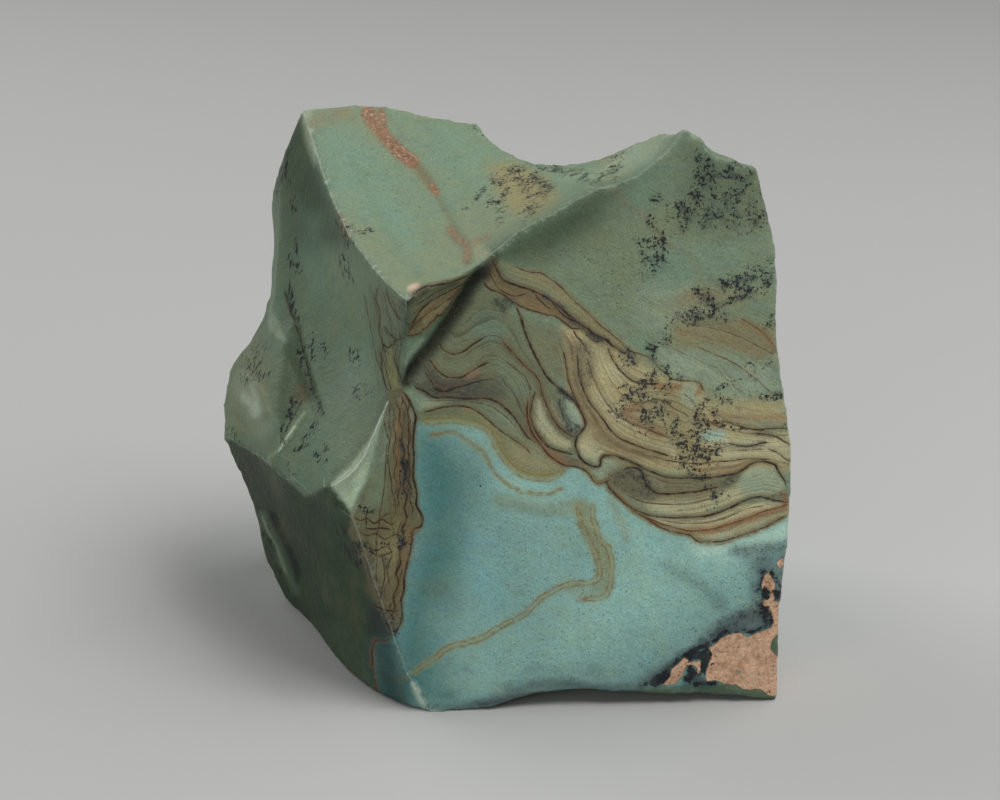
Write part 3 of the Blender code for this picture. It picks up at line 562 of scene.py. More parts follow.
# Soft strokes on the ground: colour, strength, half width in pixels, path.
STROKES = [
    # The top: the red vein and its stains.
    (MOSS_TAN, 0.8, 6, [(414, 164), (424, 176), (434, 190)]),
    (TAN_BROWN, 0.35, 3, [(416, 166), (426, 178), (436, 196), (446, 212), (456, 230)]),
    (TAN, 0.25, 6, [(470, 246), (484, 254)]),
    (GREY_BROWN, 0.35, 5, [(418, 166), (426, 178), (432, 186)]),
    (GREY_BROWN, 0.35, 6, [(452, 232), (466, 246), (468, 260)]),
    (RED_PINK, 0.2, 8, [(312, 124), (330, 118), (345, 112)]),
    (GOLD, 0.5, 3, [(342, 224), (348, 235)]),
    (PINK, 0.95, 3.4, [(411, 288), (417, 286)]),
    (CREAM, 0.8, 1.8, [(410, 288), (414, 286)]),
    # Painted shade along the shallow grooves of the top.
    (SAGE_DEEP, 0.22, 5, [(392, 140), (424, 176), (446, 206), (470, 252)]),
    (SAGE_DEEP, 0.14, 5, [(352, 160), (372, 200), (398, 250), (420, 278)]),
    (SAGE_DEEP, 0.10, 6, [(430, 125), (452, 160), (470, 190), (486, 232)]),
    # The nose.
    (RUST, 0.25, 3, [(412, 330), (420, 318), (430, 307), (444, 299), (456, 292)]),
    # Painted shade along the nose's upper edge and down the crease beside it.
    (PAINTED_SHADE, 0.7, 4, [(407, 303), (413, 296), (424, 290)]),
    (PAINTED_SHADE, 0.75, 7.5, CREASE),
    (PAINTED_SHADE, 0.9, 5, CREASE),
    (PAINTED_SHADE, 0.6, 5, [(470, 284), (484, 272), (496, 256)]),
    (SAGE_PALE, 0.5, 4, [(407, 362), (413, 351), (421, 342)]),
    # The upper front.
    (RUST, 0.2, 3, [(612, 188), (625, 202), (640, 214), (652, 224), (660, 240), (680, 250), (695, 262), (702, 282)]),
    (RUST, 0.22, 6, [(672, 304), (690, 298), (712, 294)]),
    (RUST, 0.30, 4, [(530, 274), (548, 280), (565, 294), (590, 318), (620, 344)]),
    (MOSS_TAN, 0.6, 4, [(515, 272), (548, 284), (580, 310), (612, 338), (645, 360)]),
    # The lens.
    (TAN_BROWN, 0.7, 4, [(492, 262), (498, 278), (515, 290), (540, 298), (560, 310), (580, 326), (604, 344)]),
    (LINE_BROWN, 0.55, 4, [(484, 270), (488, 278)]),
    (TAN_BROWN, 0.7, 2.5, [(554, 345), (556, 351)]),
    # The folds at the left centre.
    (PINK, 0.4, 3, [(468, 374), (476, 371)]),
    (RED_PINK, 0.5, 4, [(464, 378), (476, 374)]),
    (GREY_BROWN, 0.8, 5, [(428, 366), (434, 378), (446, 384), (462, 382)]),
    (TAN_BROWN, 0.45, 3, [(500, 340), (515, 356), (531, 371), (540, 386), (547, 407), (558, 428)]),
    (TAN_BROWN, 0.7, 4, [(526, 432), (536, 440), (543, 440)]),
    (RUST, 0.45, 3, [(528, 398), (529, 418), (535, 436), (548, 450), (562, 460)]),
    (RUST, 0.6, 3, [(545, 450), (553, 459), (565, 465)]),
    # The swirl and the bands above the blue.
    (RUST, 0.6, 3, [(628, 410), (640, 406)]),
    (RUST, 0.5, 4, [(624, 412), (640, 424), (660, 434)]),
    (RUST, 0.7, 3, [(655, 384), (668, 388), (680, 387)]),
    (RUST, 0.7, 2.5, [(699, 384), (701, 390), (697, 394)]),
    (RUST, 0.8, 2.5, [(712, 423), (722, 425)]),
    (RUST, 0.4, 4, [(742, 322), (760, 332), (776, 348)]),
    (RUST, 0.25, 5, [(680, 332), (720, 338), (760, 354)]),
    (RUST, 0.12, 5, [(700, 348), (730, 360), (760, 378)]),
    (RUST, 0.35, 4, [(712, 414), (740, 417), (790, 418)]),
    (RUST, 0.3, 4, [(700, 470), (730, 470), (744, 464)]),
    (RUST, 0.8, 3, [(783, 494), (786, 504)]),
    # The golden veins in the blue.
    (SAGE_DEEP, 0.6, 5, [(452, 400), (474, 404), (492, 414), (506, 428), (518, 440)]),
    (OLIVE, 0.9, 4.5, [(421, 415), (436, 412), (452, 409), (464, 410)]),
    (GOLD, 0.5, 3, [(464, 410), (478, 415), (490, 426), (500, 440), (508, 456), (518, 468), (532, 473), (548, 474)]),
    (SAGE_TAN, 0.5, 8, [(500, 500), (530, 507), (560, 508), (578, 505)]),
    (SAGE_TAN, 0.55, 8, [(584, 508), (588, 530), (602, 556), (604, 585)]),
    (MOSS_TAN, 0.4, 4, [(610, 500), (620, 520), (626, 540)]),
    (VEIN_TAN, 0.3, 7, [(580, 505), (588, 525), (598, 545), (605, 562), (605, 582), (592, 591), (570, 589)]),
    (RUST, 0.6, 2.5, [(580, 599), (587, 600)]),
    # The brown column and the prow.
    (LINE_BROWN, 0.5, 3, [(404, 462), (408, 475), (407, 490)]),
    (LINE_BROWN, 0.5, 4, [(366, 544), (372, 550)]),
    (LINE_BROWN, 0.4, 3, [(388, 618), (392, 630)]),
    (RUST, 0.6, 2.5, [(374, 640), (371, 656), (374, 672), (377, 690)]),
    (GOLD, 0.4, 3, [(406, 678), (396, 681), (382, 677)]),
    # Painted shade: the next stroke darkens the low-left face.
    (PAINTED_SHADE, 0.3, 22, [(250, 468), (285, 520), (305, 556)]),
    (SAGE_DEEP, 0.3, 12, [(332, 632), (350, 656), (372, 688)]),
    (DEEP_TEAL, 0.9, 14, [(382, 648), (386, 670), (394, 700)]),
    (BRUISE_AND_HIGHLIGHT, 0.55, 3, [(413, 684), (418, 695), (423, 705)]),
    # The left side and the elbow.
    # Painted highlight on the elbow's bulge, in the next three strokes.
    (BRUISE_AND_HIGHLIGHT, 0.14, 13, [(240, 384), (252, 398), (262, 424)]),
    (BRUISE_AND_HIGHLIGHT, 0.38, 5, [(246, 398), (253, 404), (258, 414)]),
    (BRUISE_AND_HIGHLIGHT, 0.30, 3, [(254, 386), (258, 398), (260, 410)]),
    # Painted shade down the crease between the left side and the elbow, in the next three strokes.
    (PAINTED_SHADE, 0.6, 2.5, [(286, 294), (292, 312), (298, 334), (304, 358)]),
    (SHADOW_GREEN, 0.7, 3, [(296, 326), (300, 350), (307, 372), (313, 392)]),
    (SAGE_DEEP, 0.8, 5, [(284, 320), (297, 332), (304, 365), (312, 392), (320, 414)]),
    (TAN_BROWN, 0.6, 5, [(301, 386), (302, 400)]),
    # Painted highlight along the elbow's ridge, in the next two strokes.
    (RIDGE_HIGHLIGHT, 0.35, 1.8, [(305, 413), (298, 423), (289, 436), (279, 450), (269, 459)]),
    (RIDGE_HIGHLIGHT, 0.7, 1.8, [(295, 427), (289, 436), (284, 444)]),
    (RUST, 0.3, 4, [(340, 216), (346, 232)]),
    (SAGE_DEEP, 0.7, 5, [(263, 516), (268, 528), (277, 546), (284, 566), (296, 590)]),
    # Painted highlight along the far-left ridge of the low-left face.
    (RIDGE_HIGHLIGHT, 0.22, 1.6, [(264, 518), (271, 534), (280, 552), (287, 572)]),
    (INK, 0.6, 2, [(270, 514), (278, 532), (290, 556), (298, 582)]),
    # Painted shade along the upper edge of the ledge, in the next two strokes.
    (SAGE_DEEP, 0.6, 3, [(383, 402), (373, 426), (360, 446), (347, 462), (334, 473)]),
    (SAGE_DEEP, 0.25, 4, [(392, 412), (376, 446), (356, 472), (336, 490)]),
    # The rough foot: a grainy slate band, and painted shadow along its lower edge.
    (SMOKE, 0.8, 2.5, [(480, 706), (500, 701), (545, 693), (600, 694), (640, 692)]),
    (SLATE, 0.5, 5, [(430, 709), (470, 706), (500, 698), (545, 684), (600, 688), (640, 688)]),
]

# Rust-red veins with pale crystals: strength, half width in pixels, path.
RED_VEINS = [
    (1.0, 8.0, [(368, 112), (372, 120), (380, 130), (389, 141), (401, 153), (412, 161)]),
    (0.9, 5.0, [(381, 111), (383, 120), (385, 131), (393, 142)]),
    (0.45, 2.4, [(391, 118), (398, 130), (407, 140), (411, 145)]),
    (0.5, 2.4, [(417, 164), (425, 175), (433, 187)]),
    (1.0, 3.4, [(433, 186), (437, 193)]),
    (0.4, 2.4, [(438, 195), (443, 203), (447, 212)]),
    (0.62, 6.0, [(450, 230), (458, 238), (467, 247), (467, 262)]),
    (0.52, 6.0, [(467, 247), (478, 241), (486, 238)]),
    (0.35, 8, [(312, 122), (330, 117), (345, 112)]),
]

# Dark grainy smudges: strength, half width in pixels, path.
SMUDGES = [
    (0.40, 4, [(484, 272), (490, 268), (496, 262)]),
    (0.68, 6, [(498, 302), (504, 306), (510, 302)]),
    (0.70, 4, [(506, 300), (512, 302)]),
    (0.70, 2.6, [(544, 296), (550, 300)]),
    (0.70, 3, [(558, 304), (564, 309)]),
    (0.75, 3, [(572, 321), (583, 327)]),
    (0.80, 3.5, [(588, 333), (595, 337), (602, 340)]),
    (0.52, 6, [(587, 352), (590, 364)]),
    (0.50, 4, [(588, 354), (590, 362)]),
    (0.38, 6, [(584, 372), (590, 384)]),
    (0.52, 5, [(626, 352), (634, 362)]),
    (0.34, 4, [(418, 388), (440, 396), (470, 397), (492, 396)]),
    (0.80, 4, [(560, 391), (566, 394), (573, 399)]),
    (0.70, 3.5, [(562, 402), (562, 414), (567, 424)]),
    (0.80, 4, [(566, 427), (573, 431), (580, 428)]),
    (0.70, 5, [(641, 472), (645, 482), (650, 490)]),
    (0.60, 6, [(618, 476), (630, 474), (640, 480)]),
    (0.45, 6, [(625, 484), (638, 492), (650, 497)]),
    (0.52, 5, [(722, 486), (730, 480), (736, 476)]),
    (0.50, 3, [(716, 446), (740, 446), (756, 446), (763, 443)]),
    (0.50, 2.5, [(756, 434), (766, 434), (774, 436)]),
    (0.60, 2.5, [(772, 495), (783, 493)]),
    (0.35, 8, [(636, 474), (644, 484), (652, 492)]),
    (0.35, 14, [(616, 480), (632, 480), (642, 490)]),
    (0.50, 10, [(584, 350), (588, 362), (586, 378)]),
    (0.45, 7, [(560, 408), (566, 420), (572, 427)]),
    (0.40, 6, [(402, 306), (406, 320), (404, 334)]),
    (0.50, 5, [(486, 268), (492, 262)]),
    (0.45, 6, [(418, 384), (430, 392), (450, 394), (480, 394)]),
    (0.40, 5, [(430, 372), (440, 384), (460, 386), (480, 382)]),
    (0.50, 4, [(688, 474), (700, 478)]),
    (0.50, 9, [(375, 610), (386, 628)]),
    (0.75, 3, [(403, 462), (406, 472), (404, 482)]),
    (0.60, 3, [(399, 440), (403, 450)]),
    (0.60, 2.5, [(408, 490), (412, 496)]),
    (0.60, 3, [(398, 536), (403, 545)]),
    (0.60, 3, [(382, 556), (388, 566)]),
    (0.60, 4, [(724, 286), (738, 281), (755, 277)]),
    (0.60, 3, [(716, 306), (730, 302), (745, 297)]),
    (0.50, 4, [(698, 294), (706, 302), (716, 306)]),
    (0.60, 2.4, [(718, 176), (730, 177), (738, 175)]),
    (0.55, 6, [(735, 551), (760, 548), (785, 546)]),
    (0.50, 8, [(764, 560), (757, 580), (757, 602)]),
    (0.55, 8, [(704, 642), (725, 624), (748, 616), (766, 612)]),
    (0.32, 7, [(668, 566), (690, 578), (712, 594), (722, 606)]),
    (0.15, 6, [(470, 702), (500, 694), (545, 682), (600, 684), (640, 684)]),
    (0.04, 9, [(520, 680), (560, 668), (610, 664), (650, 656), (680, 644)]),
    (0.50, 9, [(790, 556), (810, 560), (834, 590), (848, 630), (846, 668), (822, 694)]),
    (0.40, 8, [(366, 562), (380, 590)]),
]

# Thin lines: half width in millimetres, warmth from dark brown to rust, how dark the stone is on the upper side of the
# line, path from left to right or from top to bottom.
LINES = [
    (0.20, 0.0, 0.6, LENS_TOP),
    (0.14, 0.1, 0.5, LENS_FOOT),
    (0.11, 0.3, 0.0, [(488, 270), (492, 278), (497, 287), (503, 292), (510, 295), (517, 296), (524, 294), (528, 292)]),
    (0.12, 0.1, 0.0, [(535, 293), (538, 299), (545, 305), (552, 310)]),
    (0.14, 0.0, 0.0, [(552, 302), (560, 312), (567, 318), (576, 322)]),
    (0.14, 0.0, 0.0, [(583, 328), (588, 335), (592, 340), (598, 342), (601, 341)]),
    (0.10, 0.3, 0.3, OUTER_LINE),
    (0.19, 0.0, 0.3, LONG_LINE_HIGH + LONG_LINE_LOW[1:]),
    (0.14, 0.0, 0.5, FOLD_TOP),
    (0.15, 0.0, 0.5, FOLD_MIDDLE),
    (0.12, 0.0, 0.6, FOLD_LOWER),
    (0.20, 0.0, 0.0, [(433, 388), (440, 391), (448, 391), (455, 388), (463, 387)]),
    (0.18, 0.0, 0.7, FOLD_FOOT),
    (0.12, 0.2, 0.5, LOBE_TOP + [(524, 447), (532, 455)]),
    (0.12, 0.25, 0.6, FOLD_RUN),
    (0.08, 0.2, 0.3, [(505, 362), (512, 366), (520, 372), (526, 378), (531, 390)]),
    (0.15, 0.1, 0.4, SWIRL_EDGE),
    (0.16, 0.15, 0.0, SWIRL_RIM),
    (0.09, 0.3, 0.4, [(544, 398), (549, 410), (555, 421), (563, 430), (572, 435)]),
    (0.08, 0.1, 0.0, [(560, 396), (560, 406), (563, 417), (570, 427)]),
    (0.12, 0.2, 0.5, SWIRL_COLUMN),
    (0.14, 0.0, 0.6, SWIRL_INNER),
    (0.09, 0.4, 0.4, SWIRL_MIDDLE),
    (0.14, 0.0, 0.5, SWIRL_OUTER),
    (0.12, 0.1, 0.0, [(573, 330), (577, 337), (583, 343), (587, 350), (590, 356)]),
    (0.09, 0.3, 0.0, [(652, 398), (665, 402), (675, 409), (685, 414), (690, 418)]),
    (0.08, 0.3, 0.0, [(683, 392), (690, 399), (696, 406)]),
    (0.14, 0.1, 0.4, [(720, 421), (730, 423), (742, 427), (757, 430), (768, 429), (780, 428), (792, 429)]),
    (0.13, 0.0, 0.3, [(728, 443), (740, 446), (752, 446), (762, 443), (770, 443)]),
    (0.12, 0.0, 0.3, [(755, 433), (765, 434), (774, 436), (782, 440), (791, 446)]),
    (0.10, 0.2, 0.5, BAND_RUN),
    (0.12, 0.1, 0.3, [(768, 449), (777, 452), (783, 457), (791, 462)]),
    (0.09, 0.2, 0.0, [(700, 449), (720, 450), (745, 450), (764, 449)]),
    (0.09, 0.6, 0.2, [(740, 318), (752, 325), (760, 330), (768, 338), (775, 348), (779, 352)]),
    (0.08, 0.65, 0.2, [(684, 324), (700, 326), (720, 330), (742, 338), (760, 347), (776, 356)]),
    (0.08, 0.55, 0.0, [(696, 346), (714, 354), (732, 362), (755, 378), (776, 398)]),
    (0.16, 0.0, 0.4, [(622, 471), (632, 467), (641, 471), (644, 479), (648, 487), (656, 493), (668, 494), (682, 493),
                      (695, 492), (708, 489), (720, 487)]),
    (0.08, 0.2, 0.2, [(626, 494), (640, 501), (660, 504), (685, 504), (705, 500), (722, 495)]),
    (0.15, 0.0, 0.5, LOW_BAND_LINE),
    (0.13, 0.35, 0.25, LOWER_CONTACT),
    (0.12, 0.7, 0.0, [(636, 512), (650, 519), (665, 525), (680, 529), (692, 531), (706, 530), (720, 527), (736, 522),
                      (750, 517), (765, 511), (780, 507), (792, 503)]),
    (0.08, 0.5, 0.0, [(660, 520), (680, 523), (700, 523), (718, 520), (735, 514), (750, 508), (768, 505)]),
    (0.18, 0.0, 0.0, LEFT_CONTACT),
    (0.15, 0.3, 0.0, FOOT_CONTACT),
    (0.09, 0.1, 0.0, [(399, 393), (403, 400), (401, 408), (405, 415), (403, 424), (406, 432), (402, 441), (404, 450),
                      (401, 458), (403, 467), (399, 476), (401, 485), (397, 494), (399, 504), (395, 512)]),
    (0.10, 0.0, 0.0, [(406, 398), (410, 405), (407, 413), (411, 421), (408, 430), (411, 439), (407, 447), (410, 456),
                      (407, 464), (411, 472), (408, 481), (412, 490), (409, 499), (413, 508), (411, 518)]),
    (0.10, 0.1, 0.0, [(391, 402), (389, 420), (390, 440), (388, 460), (391, 480), (393, 500)]),
    (0.10, 0.0, 0.0, [(402, 520), (398, 534), (402, 548), (398, 562), (396, 578)]),
    (0.11, 0.0, 0.0, [(403, 568), (399, 582), (396, 596), (390, 606), (386, 618)]),
    (0.12, 0.0, 0.0, [(386, 610), (388, 624), (392, 633), (398, 628), (402, 616)]),
    (0.10, 0.0, 0.0, [(382, 556), (385, 574), (382, 590), (379, 604)]),
    (0.09, 0.0, 0.0, [(391, 556), (388, 570), (390, 586)]),
    (0.12, 0.0, 0.4, [(408, 334), (412, 326), (418, 314), (427, 304), (438, 297), (448, 292), (458, 287), (467, 282)]),
    (0.12, 0.0, 0.4, [(410, 301), (416, 293), (424, 288), (438, 285), (455, 281), (470, 275)]),
    (0.13, 0.4, 0.0, [(405, 336), (414, 335), (420, 334), (424, 328), (427, 328), (430, 322), (434, 321), (437, 315),
                      (441, 316), (445, 309), (449, 308), (452, 301), (457, 295), (463, 290), (468, 286)]),
    (0.07, 0.1, 0.0, [(411, 331), (418, 322), (427, 314), (436, 309), (444, 303), (453, 297), (462, 289)]),
    (0.07, 0.1, 0.0, [(416, 306), (425, 299), (437, 292), (449, 287), (461, 281)]),
    (0.10, 0.0, 0.3, [(378, 285), (376, 300), (380, 312), (379, 330), (383, 345), (381, 360), (384, 380), (389, 393)]),
    (0.09, 0.1, 0.2, [(386, 288), (390, 302), (396, 314), (402, 322)]),
    (0.12, 0.0, 0.0, [(385, 326), (390, 334), (398, 340), (404, 338)]),
    (0.13, 0.0, 0.0, [(381, 342), (388, 348), (396, 340)]),
    (0.10, 0.1, 0.3, [(378, 350), (384, 362), (388, 378), (392, 392)]),
    (0.12, 0.1, 0.0, [(398, 345), (394, 358), (398, 370), (401, 382)]),
    (0.14, 0.0, 0.0, [(366, 528), (374, 529), (382, 528), (391, 530)]),
    (0.11, 0.0, 0.0, [(368, 508), (366, 518), (367, 527)]),
    (0.12, 0.0, 0.0, [(376, 524), (382, 517), (389, 513)]),
    (0.12, 0.0, 0.0, [(360, 545), (370, 550), (378, 556), (392, 552)]),
    # On the hidden sides.
    (0.20, 0.1, 0.4, HIDDEN_CONTACT),
    (0.15, 0.1, 0.5, [(790, 503), (815, 490), (850, 483), (892, 494), (928, 514), (966, 530), (1008, 526), (1046, 506),
                      (1088, 484), (1136, 476), (1184, 488), (1232, 520), (1284, 548), (1342, 552), (1400, 532),
                      (1452, 520), (1512, 534), (1566, 566), (1608, 612), (1634, 670)]),
    (0.12, 0.1, 0.4, [(785, 484), (815, 468), (855, 458), (900, 466), (940, 486), (985, 494), (1030, 480), (1080, 456),
                      (1140, 446), (1200, 462), (1260, 500), (1330, 514), (1390, 500), (1450, 490), (1510, 506), (1560, 540)]),
    (0.11, 0.3, 0.5, [(792, 446), (830, 436), (870, 436), (915, 448), (960, 458), (1010, 450), (1070, 424), (1140, 410)]),
    (0.11, 0.2, 0.4, [(792, 429), (835, 412), (880, 408), (930, 420), (980, 424), (1040, 400)]),
    (0.10, 0.5, 0.2, [(776, 356), (810, 372), (850, 380), (900, 372), (950, 350), (1000, 340)]),
]

# Jagged lines in the brown column and along the ridge beside it.
LINES += [
    (0.17, 0.1, 0.3, [(394, 398), (400, 410), (399, 420), (403, 430), (401, 441), (405, 452), (402, 463), (406, 474),
                      (403, 486), (407, 498), (404, 508), (407, 518), (402, 530), (405, 540), (399, 552), (401, 562),
                      (396, 574), (399, 584), (393, 596), (395, 606), (391, 620)]),
    (0.08, 0.2, 0.2, [(390, 404), (395, 414), (393, 425), (396, 437), (393, 450), (397, 462), (394, 474), (397, 486),
                      (394, 498), (396, 510), (391, 521), (394, 532), (389, 544), (392, 556), (386, 568), (389, 580),
                      (384, 592), (386, 602)]),
    (0.08, 0.1, 0.2, [(385, 416), (387, 440), (386, 462), (384, 490), (380, 512), (379, 526), (376, 540), (377, 560),
                      (376, 576), (380, 592)]),
    (0.11, 0.1, 0.3, [(354, 517), (360, 521), (367, 518), (374, 524), (382, 519), (391, 525), (397, 521)]),
    (0.09, 0.1, 0.3, [(360, 531), (366, 536), (377, 533), (384, 540), (396, 534), (404, 539)]),
    (0.10, 0.1, 0.2, [(366, 547), (376, 551), (386, 546), (392, 552)]),
    (0.10, 0.2, 0.2, [(400, 396), (407, 408), (409, 430), (408, 450), (410, 470)]),
    (0.15, 0.1, 0.3, [(370, 604), (380, 608), (390, 611), (399, 611)]),
    (0.06, 0.1, 0.2, [(364, 292), (367, 310), (371, 330), (376, 356), (382, 374), (386, 388)]),
    (0.06, 0.1, 0.2, [(373, 290), (376, 310), (380, 332), (386, 358), (391, 376)]),
    (0.06, 0.1, 0.2, [(383, 290), (387, 308), (391, 326), (395, 350), (399, 372)]),
    (0.06, 0.1, 0.2, [(391, 296), (396, 312), (400, 334), (402, 348)]),
]

# Where the ledge and the ridge of the elbow are chipped: pale lines, with a warmth below zero.
LINES += [
    (0.11, -1.0, 0.0, [(389, 399), (381, 418), (372, 438), (362, 459), (352, 472), (340, 481), (328, 487)]),
    (0.10, -1.0, 0.0, [(297, 425), (290, 435), (284, 444), (278, 453)]),
]

LINES.append((0.08, 0.0, 0.1, [(304, 398), (297, 410), (290, 423), (284, 434), (278, 446)]))
# Painted shade: a dark line down the crease between the left side and the elbow.
LINES.append((0.10, 0.0, 0.0, [(283, 290), (290, 308), (296, 330), (301, 350), (306, 372), (311, 392)]))

# Golden veins in the blue: half width in millimetres, path.
VEINS = [
    (0.16, [(427, 436), (440, 434), (450, 432), (458, 434), (463, 438), (470, 443), (477, 447), (483, 452), (487, 459),
            (491, 467), (496, 474), (502, 480), (510, 486), (518, 490), (527, 493), (537, 494), (547, 494), (557, 491),
            (565, 486)]),
    (0.42, VEIN_INNER),
    (0.48, VEIN_OUTER),
    (0.60, LOBE_EDGE),
    (0.35, LOWER_CONTACT),
    (0.4, [(790, 640), (840, 628), (880, 604), (930, 596), (980, 612), (1030, 606), (1080, 578), (1140, 570), (1200, 600),
           (1260, 640), (1340, 650), (1420, 634), (1490, 650), (1550, 690), (1600, 740)]),
]

# Fern-like dark growths: density 0 to 1, half width in pixels, path.
GROWTHS = [
    # The upper right of the front.
    (0.85, 11, [(696, 160), (700, 178), (690, 200), (683, 214)]),
    (0.65, 14, [(700, 165), (722, 168), (738, 172)]),
    (1.0, 4, [(718, 175), (738, 178), (752, 172)]),
    (0.62, 18, [(706, 190), (735, 196), (758, 196)]),
    (0.78, 12, [(690, 214), (715, 216), (745, 218), (765, 214)]),
    (0.7, 8, [(745, 236), (735, 225)]),
    (0.6, 7, [(655, 192), (662, 208), (674, 218)]),
    (0.9, 7, [(652, 222), (660, 235), (655, 241)]),
    (0.9, 10, [(640, 246), (652, 255), (648, 268)]),
    (0.7, 8, [(664, 250), (662, 266)]),
    (0.7, 6, [(680, 225), (676, 238)]),
    (1.0, 9, [(724, 286), (740, 278), (755, 272), (765, 280), (752, 290), (735, 286)]),
    (0.8, 7, [(766, 275), (775, 264)]),
    (1.0, 4, [(718, 305), (732, 300), (748, 296)]),
    (1.0, 8, [(698, 290), (708, 300), (715, 308)]),
    (1.0, 7, [(672, 322), (684, 314), (696, 305), (706, 312)]),
    (0.95, 6, [(650, 350), (658, 342), (670, 335)]),
    (0.9, 8, [(668, 330), (682, 316), (700, 306)]),
    (0.8, 6, [(690, 322), (702, 316), (714, 318)]),
    (0.8, 5, [(648, 345), (654, 358)]),
    (0.7, 5, [(720, 312), (732, 322)]),
    (0.8, 6, [(766, 325), (778, 318)]),
    # Among the bands.
    (0.9, 8, [(624, 354), (632, 362)]),
    (0.8, 4, [(658, 370), (668, 364)]),
    (0.7, 4, [(682, 370), (688, 366)]),
    (0.9, 8, [(652, 374), (664, 378), (676, 378)]),
    (0.95, 6, [(622, 388), (634, 390), (645, 384), (660, 386), (676, 382)]),
    (0.8, 8, [(622, 396), (640, 400), (660, 394)]),
    (0.8, 12, [(622, 408), (645, 414), (640, 424)]),
    (0.9, 9, [(662, 406), (666, 420), (672, 430)]),
    (0.9, 4, [(676, 420), (674, 436)]),
    (1.0, 4, [(738, 379), (725, 385), (715, 393), (708, 400), (702, 410), (695, 420), (692, 430)]),
    (0.95, 8, [(700, 412), (706, 422), (698, 428)]),
    (0.8, 3, [(740, 378), (748, 376), (758, 370), (770, 365)]),
    (1.0, 6, [(750, 368), (754, 376)]),
    (0.8, 5, [(716, 396), (724, 404), (734, 400)]),
    (0.7, 4, [(730, 402), (740, 408)]),
    (0.8, 5, [(716, 412), (712, 418)]),
    (1.0, 5, [(753, 396), (760, 397), (772, 396), (786, 393)]),
    (1.0, 4, [(720, 424), (732, 426), (742, 430)]),
    (1.0, 15, [(688, 442), (698, 450), (710, 452)]),
    (0.9, 10, [(678, 458), (692, 466), (708, 466)]),
    (0.9, 4, [(682, 440), (690, 432)]),
    (0.8, 5, [(682, 470), (690, 476), (704, 476)]),
    (0.85, 6, [(708, 488), (714, 500), (710, 508)]),
    (0.7, 4, [(722, 495), (728, 496)]),
    # The top.
    (0.9, 12, [(515, 174), (528, 180), (542, 188)]),
    (0.8, 8, [(495, 180), (502, 192), (494, 202)]),
    (0.8, 8, [(528, 190), (534, 202), (524, 214)]),
    (0.7, 7, [(502, 205), (500, 218)]),
    (0.9, 3, [(464, 208), (474, 201), (480, 193), (487, 187)]),
    (0.8, 6, [(556, 168), (580, 175), (600, 180)]),
    (0.8, 6, [(545, 165), (530, 164)]),
    (0.7, 8, [(610, 155), (618, 150), (612, 175)]),
    (0.8, 6, [(468, 122), (480, 128), (486, 134)]),
    (0.9, 3, [(350, 225), (360, 232), (370, 230), (378, 232)]),
    (1.0, 5, [(338, 220), (344, 230), (349, 244)]),
    # The brown column.
    (0.9, 6, [(364, 508), (372, 512)]),
    (0.9, 8, [(352, 548), (362, 546), (372, 552)]),
    (0.8, 6, [(384, 545), (402, 545), (406, 536)]),
    (0.8, 7, [(404, 464), (406, 480), (405, 492)]),
    (0.7, 6, [(388, 612), (396, 622), (392, 632)]),
    (0.7, 6, [(386, 332), (398, 338), (388, 350)]),
    (0.7, 3, [(478, 484), (481, 486)]),
    # On the hidden sides.
    (0.8, 22, [(850, 330), (880, 290), (930, 270), (960, 240)]),
    (0.75, 18, [(900, 300), (960, 320), (1000, 300)]),
    (0.9, 10, [(792, 420), (840, 400), (880, 380)]),
    (0.8, 16, [(1040, 380), (1070, 350), (1120, 330), (1150, 290)]),
    (0.8, 20, [(1220, 350), (1260, 310), (1320, 300), (1350, 250)]),
    (0.75, 14, [(1400, 420), (1440, 380), (1500, 370), (1540, 330)]),
    (0.7, 14, [(1180, 240), (1230, 220), (1290, 230)]),
    (0.8, 10, [(1090, 460), (1130, 470), (1180, 450)]),
]

# Narrow upright specks on the left and low left: density, half width in pixels, path.
SPECKS = [
    (0.8, 4, [(290, 135), (288, 148), (286, 165), (287, 182)]),
    (0.9, 5, [(284, 150), (281, 168), (279, 190)]),
    (0.7, 4, [(294, 200), (294, 212)]),
    (0.9, 3, [(296, 240), (298, 256)]),
    (0.9, 5, [(289, 258), (297, 270)]),
    (1.0, 4, [(290, 285), (292, 300), (295, 318)]),
    (0.7, 6, [(342, 258), (346, 268), (349, 280)]),
    (0.9, 4, [(310, 335), (312, 346), (312, 358)]),
    (0.8, 4, [(325, 345), (328, 358)]),
    (0.7, 6, [(355, 352), (358, 370)]),
    (0.9, 5, [(300, 350), (304, 370), (311, 388)]),
    (0.8, 5, [(312, 392), (316, 402), (320, 412)]),
    (1.0, 4, [(316, 424), (310, 432), (304, 440), (296, 453)]),
    (1.0, 4, [(304, 438), (311, 447), (318, 458)]),
    (0.9, 5, [(294, 398), (292, 412), (286, 426), (282, 442)]),
    (0.7, 4, [(326, 446), (325, 462)]),
    (0.7, 5, [(288, 468), (291, 473)]),
    (0.8, 4, [(356, 386), (357, 396)]),
    (0.7, 4, [(365, 388), (372, 394)]),
    (0.7, 10, [(252, 358), (262, 348), (252, 372)]),
    (0.7, 7, [(246, 380), (264, 374)]),
    (0.7, 5, [(226, 430), (238, 440)]),
    (0.7, 8, [(316, 505), (322, 515), (332, 526), (342, 530)]),
    (0.9, 6, [(345, 546), (352, 556), (358, 564)]),
    (0.5, 6, [(325, 615), (330, 630), (335, 645)]),
    (0.6, 6, [(245, 460), (255, 470)]),
    (0.6, 6, [(270, 530), (268, 560), (280, 575)]),
]

